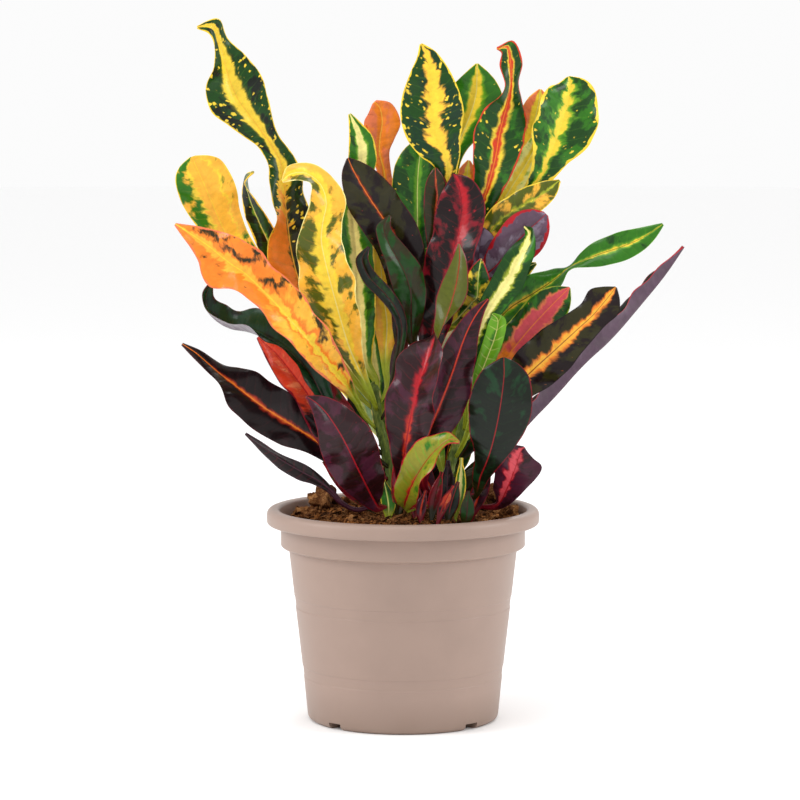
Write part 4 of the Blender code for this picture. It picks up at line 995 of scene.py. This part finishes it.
def lump(form, place, half_sizes, turn, divisions, offset):
    """Adds one uneven lump: a ball pushed about by noise, stretched and turned."""
    made = bmesh.ops.create_icosphere(form, subdivisions=divisions, radius=1.0)["verts"]
    for vertex in made:
        push = 1 + LUMP_ROUGHNESS * noise.noise(vertex.co * 1.7 + offset)
        stretched = Vector(vertex.co[k] * push * half_sizes[k] for k in range(3))
        vertex.co = place + turn @ stretched


def gathered(forms):
    """One bmesh of many."""
    whole = bmesh.new()
    for form in forms:
        mesh = bpy.data.meshes.new("batch")
        form.to_mesh(mesh)
        form.free()
        whole.from_mesh(mesh)
        bpy.data.meshes.remove(mesh)
    return whole


def kept_inside(form):
    """The same pieces, pressed flat where they would reach the pot's wall."""
    for vertex in form.verts:
        away = math.hypot(vertex.co.x, vertex.co.y)
        if away > SOIL_REACH_MM * MM:
            vertex.co.xy *= SOIL_REACH_MM * MM / away
    return form


def loose_crumbs(settings, edge, mound, chip):
    """Peat crumbs or bark chips scattered over the soil, sunk a little into it."""
    chance = random.Random(CHIP_SEED if chip else CRUMB_SEED)
    batches = []
    count = settings.chips if chip else settings.crumbs
    reach_limit = (COLLAR_RADIUS - WALL - CRUMB_GAP_MM) * MM
    for index in range(count):
        if index % 100 == 0:
            batches.append(bmesh.new())
        away = reach_limit * math.sqrt(chance.random())
        angle = chance.uniform(0, FULL_TURN)
        x, y = away * math.cos(angle), away * math.sin(angle)
        size = settings.crumb_size * (chance.uniform(0.35, 1.5) if not chip else chance.uniform(1.1, 3.0))
        shape = Vector((1, chance.uniform(0.5, 0.9), chance.uniform(0.4, 0.9)))
        if chip:
            shape = Vector((1, chance.uniform(0.35, 0.7), chance.uniform(0.16, 0.3)))
        turn = (Matrix.Rotation(chance.uniform(0, FULL_TURN), 3, "Z")
                @ Matrix.Rotation(chance.gauss(0, 0.5), 3, "X")
                @ Matrix.Rotation(chance.gauss(0, 0.4), 3, "Y"))
        height = soil_height(x, y, edge, mound) + size * chance.uniform(-0.1, 0.45)
        place = Vector((x, y, height))
        divisions = 2 if (chip or size > 1.1 * settings.crumb_size) else 1
        lump(batches[-1], place, shape * size, turn, divisions, Vector((index * 0.37, 0, index * 0.11)))
    return kept_inside(gathered(batches))


def soil_material(name, dark, light, patch_mm):
    """Damp peat and composted bark: dull, dark and crumbly, with paler dry fibres and chips, and painted
    shade in the darkest specks.
    """
    material, tree, shader = new_material(name, {"Roughness": 0.95, "IOR": 1.4, "Specular IOR Level": 0.1})
    place = put(tree, "TexCoord", out="Object")
    patch = put(tree, "TexVoronoi", {"Vector": place, "Scale": 1000 / patch_mm}, out="Color")
    pick = put(tree, "SeparateColor", (patch,))
    fine = put(tree, "TexNoise", {"Vector": place, "Scale": 900.0, "Detail": 6.0, "Roughness": 0.7})
    share = put(tree, "Math", (pick, 0.35, 0.0), operation="MULTIPLY_ADD")
    share = put(tree, "Math", (fine, 0.75, share), operation="MULTIPLY_ADD")
    ramp = put(tree, "ValToRGB", {"Fac": share})
    stops = ramp.node.color_ramp.elements
    # painted shade: the darkest stop, a fifth of the damp colour, stands for shade in the gaps between
    # crumbs
    stops[0].position, stops[0].color = 0.35, tuple(0.2 * c for c in dark[:3]) + (1.0,)
    stops[1].position, stops[1].color = 0.76, light
    middle = stops.new(0.52)
    middle.color = dark
    tree.links.new(ramp, shader.inputs["Base Color"])
    bump = put(tree, "Bump", {"Height": fine, "Strength": 0.8, "Distance": 0.0006})
    tree.links.new(bump, shader.inputs["Normal"])
    return material


# ---------------------------------------------------------------- stem material

def stem_material(colours):
    """Young croton wood: green under a thin corky bark, which gives it dull streaks along the stem."""
    material, tree, shader = new_material("croton_stem_bark", {"Roughness": 0.62, "IOR": 1.42})
    place = put(tree, "TexCoord", out="Object")
    stretched = put(tree, "Mapping", {"Vector": place, "Scale": (1.0, 1.0, 0.25)})
    streak = put(tree, "TexNoise", {"Vector": stretched, "Scale": 700.0, "Detail": 5.0, "Roughness": 0.65})
    patch = put(tree, "TexNoise", {"Vector": place, "Scale": 90.0, "Detail": 3.0})
    share = put(tree, "Math", (patch, 0.6, streak), operation="MULTIPLY_ADD")
    ramp = put(tree, "ValToRGB", {"Fac": share})
    stops = ramp.node.color_ramp.elements
    stops[0].position, stops[0].color = 0.55, colours.cracks
    stops[1].position, stops[1].color = 1.0, colours.cork
    middle = stops.new(0.78)
    middle.color = colours.green
    tree.links.new(ramp, shader.inputs["Base Color"])
    bump = put(tree, "Bump", {"Height": streak, "Strength": 0.7, "Distance": 0.0004})
    tree.links.new(bump, shader.inputs["Normal"])
    return material


# ---------------------------------------------------------------- operators


def stem_nodes():
    return sorted(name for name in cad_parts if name.startswith("stem_"))


class CROTON_OT_pot(bpy.types.Operator):
    """Model the moulded nursery pot"""
    bl_idname = "croton.pot"
    bl_label = "Pot"

    def execute(self, context):
        sizes = context.scene.croton_pot
        material = moulded_plastic(sizes)
        piece = finish_piece("moulded_pot", pot_form(sizes), material, ["pot"])
        piece.data.set_sharp_from_angle(angle=SHARP_ANGLE)
        return {"FINISHED"}


class CROTON_OT_soil(bpy.types.Operator):
    """Model the soil, its loose crumbs, its bark chips and the lumps of root and bark at its edge"""
    bl_idname = "croton.soil"
    bl_label = "Soil"

    def execute(self, context):
        settings = context.scene.croton_soil
        low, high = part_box("soil")
        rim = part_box("pot")[1][2] / MM
        collar_foot = rim - LIP - COLLAR
        body_top = collar_foot - COLLAR_STEP
        edge, mound = high[2] - SOIL_EDGE_DROP, SOIL_MOUND
        sides_out = (body_radius(FLOOR_TOP, rim) - WALL - SOIL_GAP_MM,
                     body_radius(body_top, rim) - WALL - SOIL_GAP_MM,
                     COLLAR_RADIUS - WALL - COLLAR_STEP - SOIL_GAP_MM, body_top)
        peat = soil_material("peat_damp", settings.peat, settings.dry_peat, PEAT_PATCH_MM)
        bark = soil_material("bark_composted", settings.damp_bark, settings.bark, BARK_PATCH_MM)
        finish_piece("soil_plug", soil_form(edge, mound, low[2] / MM, sides_out), peat, ["soil"])
        finish_piece("soil_crumbs", loose_crumbs(settings, edge, mound, False), peat, (),
                     smooth=False)
        finish_piece("bark_chips", loose_crumbs(settings, edge, mound, True), bark, (),
                     smooth=False)
        lumps = bmesh.new()
        for index, (centre, half_sizes) in enumerate(BARK_LUMPS):
            place, halves = Vector(centre) * MM, Vector(half_sizes) * MM
            turn = Matrix.Rotation(LUMP_TURN * index, 3, "Z")
            lump(lumps, place, halves, turn, LUMP_DIVISIONS, Vector((index, 3, 1)))
        for vertex in lumps.verts:
            vertex.co.z += noise.noise(vertex.co / MM * 0.5) * LUMP_PITS_MM * MM
        finish_piece("root_ball_lumps", kept_inside(lumps), bark, ())
        return {"FINISHED"}


class CROTON_OT_stems(bpy.types.Operator):
    """Model the four stems"""
    bl_idname = "croton.stems"
    bl_label = "Stems"

    def execute(self, context):
        bark = stem_material(context.scene.croton_stems)
        for node in stem_nodes():
            finish_piece("woody_" + node, stem_form(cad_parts[node]), bark, [node])
        return {"FINISHED"}


class CROTON_OT_leaves(bpy.types.Operator):
    """Model and paint every leaf"""
    bl_idname = "croton.leaves"
    bl_label = "Leaves"

    def execute(self, context):
        scene = context.scene
        stems = bmesh.new()
        for node in stem_nodes():
            stems.from_mesh(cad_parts[node].data)
        tree = BVHTree.FromBMesh(stems)
        stems.free()
        paint = croton_paint()
        names = sorted(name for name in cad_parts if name.startswith("leaf_"))
        for index, node in enumerate(names):
            seed = LEAF_SEED_STEP * index
            rings = leaf_rings(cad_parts[node], tree)
            form, reach = grow_leaf(rings, scene.croton_form, seed)
            material = leaf_material(node, paint, scene.croton_palette, reach, seed)
            finish_piece("grown_" + node, form, material, [node])
        return {"FINISHED"}


# Young leaves and shoots between the large leaves, with no CAD solid: the leaf whose look each takes, then
# the foot, middle and tip of its midrib and its half-width, in millimetres
INNER_LEAVES = (
    ("leaf_dark_arm", (-6, 4, 140), (-22, 12, 165), (-34, 18, 200), 7.5),
    ("leaf_left_crimson", (-9, -6, 150), (-26, -4, 172), (-46, 2, 196), 8.5),
    ("leaf_tall_striped", (-14, -2, 178), (-16, 10, 205), (-20, 16, 246), 6.5),
    ("leaf_green_striped", (-13, -2, 166), (-4, 6, 190), (-2, 10, 232), 6.0),
    ("leaf_dark_curly", (8, 16, 150), (6, 18, 178), (2, 20, 214), 8.0),
    ("leaf_right_bright", (26, -2, 144), (22, 4, 168), (14, 8, 196), 4.5),
    ("leaf_small_oval", (24, 0, 140), (34, 8, 160), (42, 16, 186), 7.0),
    ("leaf_front_oval", (8, 12, 140), (16, 10, 160), (22, 10, 190), 7.5),
    ("leaf_left_red", (-6, -4, 136), (-16, 2, 150), (-30, 8, 166), 5.5),
    ("leaf_front_pair", (22, -2, 136), (14, 2, 150), (2, 6, 172), 6.0),
    ("leaf_dark_arm", (26, -2, 150), (44, 6, 176), (60, 12, 206), 7.5),
    ("leaf_golden", (-14, -4, 172), (-6, -4, 196), (0, -2, 222), 4.0),
    ("leaf_green_striped", (30, -2, 160), (36, 8, 190), (38, 14, 226), 6.5),
    ("leaf_left_maroon", (-6, 26, 138), (-30, 34, 160), (-54, 40, 190), 8.0),
    ("leaf_black_red", (-8, 30, 140), (10, 46, 168), (26, 58, 200), 8.5),
    ("leaf_dark_arm", (0, 16, 122), (4, 22, 144), (12, 26, 176), 10.0),
    ("leaf_front_oval", (10, 20, 122), (22, 24, 142), (36, 28, 172), 10.0),
    ("leaf_dark_curly", (24, 14, 122), (40, 20, 140), (58, 26, 166), 9.0),
    ("leaf_left_green_curl", (-10, 14, 122), (-24, 20, 142), (-42, 26, 168), 9.5),
    ("leaf_left_crimson", (-16, 4, 124), (-30, 8, 142), (-50, 12, 160), 7.0),
    ("leaf_front_pair", (14, 4, 122), (10, 8, 144), (4, 10, 172), 8.5),
    ("leaf_dark_centre", (20, 10, 122), (24, 12, 146), (30, 14, 178), 8.5),
    ("leaf_front_oval", (-2, 6, 122), (-4, 10, 146), (-4, 14, 180), 8.0),
    # shoots that stand in the soil at the front
    ("leaf_front_pair", (12, -34, 122), (11, -32, 134), (14, -30, 147), 3.2),
    ("leaf_left_crimson", (17, -30, 122), (19, -27, 138), (24, -25, 158), 4.0),
    ("leaf_left_red", (20, -36, 122), (24, -34, 136), (31, -32, 150), 3.0),
    ("leaf_front_oval", (27, -30, 122), (29, -28, 136), (34, -26, 152), 4.5),
    ("leaf_dark_curly", (36, -34, 122), (39, -34, 132), (40, -32, 147), 4.5),
    ("leaf_tall_striped", (31, -24, 122), (35, -22, 144), (36, -20, 166), 3.4),
    ("leaf_low_left_twisted", (24, -22, 122), (27, -20, 140), (28, -16, 164), 5.0),
    ("leaf_front_pair", (40, -22, 122), (46, -20, 140), (54, -16, 160), 5.5),
    ("leaf_black_red", (8, -26, 122), (7, -22, 140), (2, -18, 160), 5.0),
    ("leaf_green_striped", (-10, -24, 122), (-9, -22, 136), (-12, -18, 152), 4.5),
    ("leaf_left_crimson", (-4, -22, 122), (-2, -20, 142), (-4, -14, 168), 5.5),
)
# half-width from foot to tip, as a share of the greatest
INNER_PROFILE = (0.22, 0.22, 0.3, 0.55, 0.85, 1.0, 0.95, 0.7, 0.35, 0.08)


class CROTON_OT_inner_leaves(bpy.types.Operator):
    """Model the small leaves and shoots that stand between the large ones"""
    bl_idname = "croton.inner_leaves"
    bl_label = "Inner leaves"

    def execute(self, context):
        scene = context.scene
        paint = bpy.data.node_groups["croton_paint"]
        count = len(INNER_PROFILE)
        for index, (look, foot, middle, tip, half) in enumerate(INNER_LEAVES):
            bend = [Vector(place) * MM for place in (foot, middle, tip)]
            path = [smooth_value(bend, 2 * step / (count - 1)) for step in range(count)]
            widths = [max(share * half, STALK_HALF_MM) * MM for share in INNER_PROFILE]
            rings = inner_rings(path, widths, Vector((0.2 * math.sin(index), -1, 0.35)))
            seed = INNER_SEED + INNER_SEED_STEP * index
            form, reach = grow_leaf(rings, scene.croton_form, seed)
            material = leaf_material(look, paint, scene.croton_palette, reach, seed)
            finish_piece(f"inner_leaf_{index:02d}", form, material, ())
        return {"FINISHED"}


# Square softboxes: name, place and side in metres, power in watts
LAMPS = (("key", (-1.7, -0.5, 1.2), 0.8, 15), ("fill", (1.8, -0.3, 0.9), 0.8, 11),
         ("rim", (0.5, 1.5, 1.4), 0.9, 6), ("top", (-0.3, -0.5, 1.9), 0.7, 6))
LAMP_AIM_HEIGHT = 0.22
BACKDROP = "#fefefe"
BACKDROP_STRENGTH = 0.98
SENSOR_WIDTH = 36
CAMERA_SHIFT = -0.00375


class CROTON_OT_stage(bpy.types.Operator):
    """Set up the floor, the lights and the camera"""
    bl_idname = "croton.stage"
    bl_label = "Floor, lights and camera"

    def execute(self, context):
        scene = context.scene
        stage = scene.croton_stage
        scene.view_settings.view_transform = "Standard"
        material, _, _ = new_material("plaster_matt_white", {"Base Color": stage.floor, "Roughness": 0.85})
        floor = bmesh.new()
        bmesh.ops.create_circle(floor, cap_ends=True, segments=96, radius=stage.floor_radius)
        mesh = bpy.data.meshes.new("floor")
        floor.to_mesh(mesh)
        floor.free()
        ground = bpy.data.objects.new("floor", mesh)
        mesh.materials.append(material)
        scene.collection.objects.link(ground)
        world = bpy.data.worlds.new("studio")
        world.use_nodes = True
        scene.world = world
        backdrop = world.node_tree.nodes["Background"]
        backdrop.inputs["Color"].default_value = linear(BACKDROP)
        backdrop.inputs["Strength"].default_value = BACKDROP_STRENGTH
        for name, place, size, power in LAMPS:
            data = bpy.data.lights.new(name, "AREA")
            data.size = size
            data.energy = power
            lamp = bpy.data.objects.new(name, data)
            lamp.location = place
            aim = Vector((0, 0, LAMP_AIM_HEIGHT)) - Vector(place)
            lamp.rotation_euler = aim.to_track_quat("-Z", "Y").to_euler()
            scene.collection.objects.link(lamp)
        camera_data = bpy.data.cameras.new("camera")
        camera = bpy.data.objects.new("camera", camera_data)
        eye = Vector((0, -stage.camera_distance, stage.camera_height))
        aim = Vector((0, 0, stage.aim_height)) - eye
        camera.location = eye
        camera.rotation_euler = aim.to_track_quat("-Z", "Y").to_euler()
        camera_data.sensor_width = SENSOR_WIDTH
        camera_data.lens = SENSOR_WIDTH * aim.length / stage.view_width
        camera_data.shift_x = CAMERA_SHIFT
        scene.collection.objects.link(camera)
        scene.camera = camera
        return {"FINISHED"}


class CROTON_PT_panel(bpy.types.Panel):
    """Lists the steps of the potted croton"""
    bl_label = "Potted croton"
    bl_idname = "CROTON_PT_panel"
    bl_space_type = "VIEW_3D"
    bl_region_type = "UI"
    bl_category = "Croton"

    def draw(self, context):
        for step in STEPS:
            self.layout.operator(step.bl_idname)


STEPS = (CROTON_OT_pot, CROTON_OT_soil, CROTON_OT_stems, CROTON_OT_leaves,
         CROTON_OT_inner_leaves, CROTON_OT_stage)
SETTINGS = (("croton_palette", CrotonPalette), ("croton_stems", CrotonStemColours),
            ("croton_form", CrotonLeafForm), ("croton_pot", CrotonPotSizes),
            ("croton_soil", CrotonSoilSettings), ("croton_stage", CrotonStage))


def register():
    for _, group in SETTINGS:
        bpy.utils.register_class(group)
    for name, group in SETTINGS:
        setattr(bpy.types.Scene, name, bpy.props.PointerProperty(type=group))
    for step in STEPS + (CROTON_PT_panel,):
        bpy.utils.register_class(step)


def unregister():
    for step in reversed(STEPS + (CROTON_PT_panel,)):
        bpy.utils.unregister_class(step)
    for name, group in reversed(SETTINGS):
        delattr(bpy.types.Scene, name)
        bpy.utils.unregister_class(group)


def main():
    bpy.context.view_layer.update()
    register()
    bpy.ops.croton.pot()
    bpy.ops.croton.soil()
    bpy.ops.croton.stems()
    bpy.ops.croton.leaves()
    bpy.ops.croton.inner_leaves()
    bpy.ops.croton.stage()


if __name__ == "__main__":
    main()
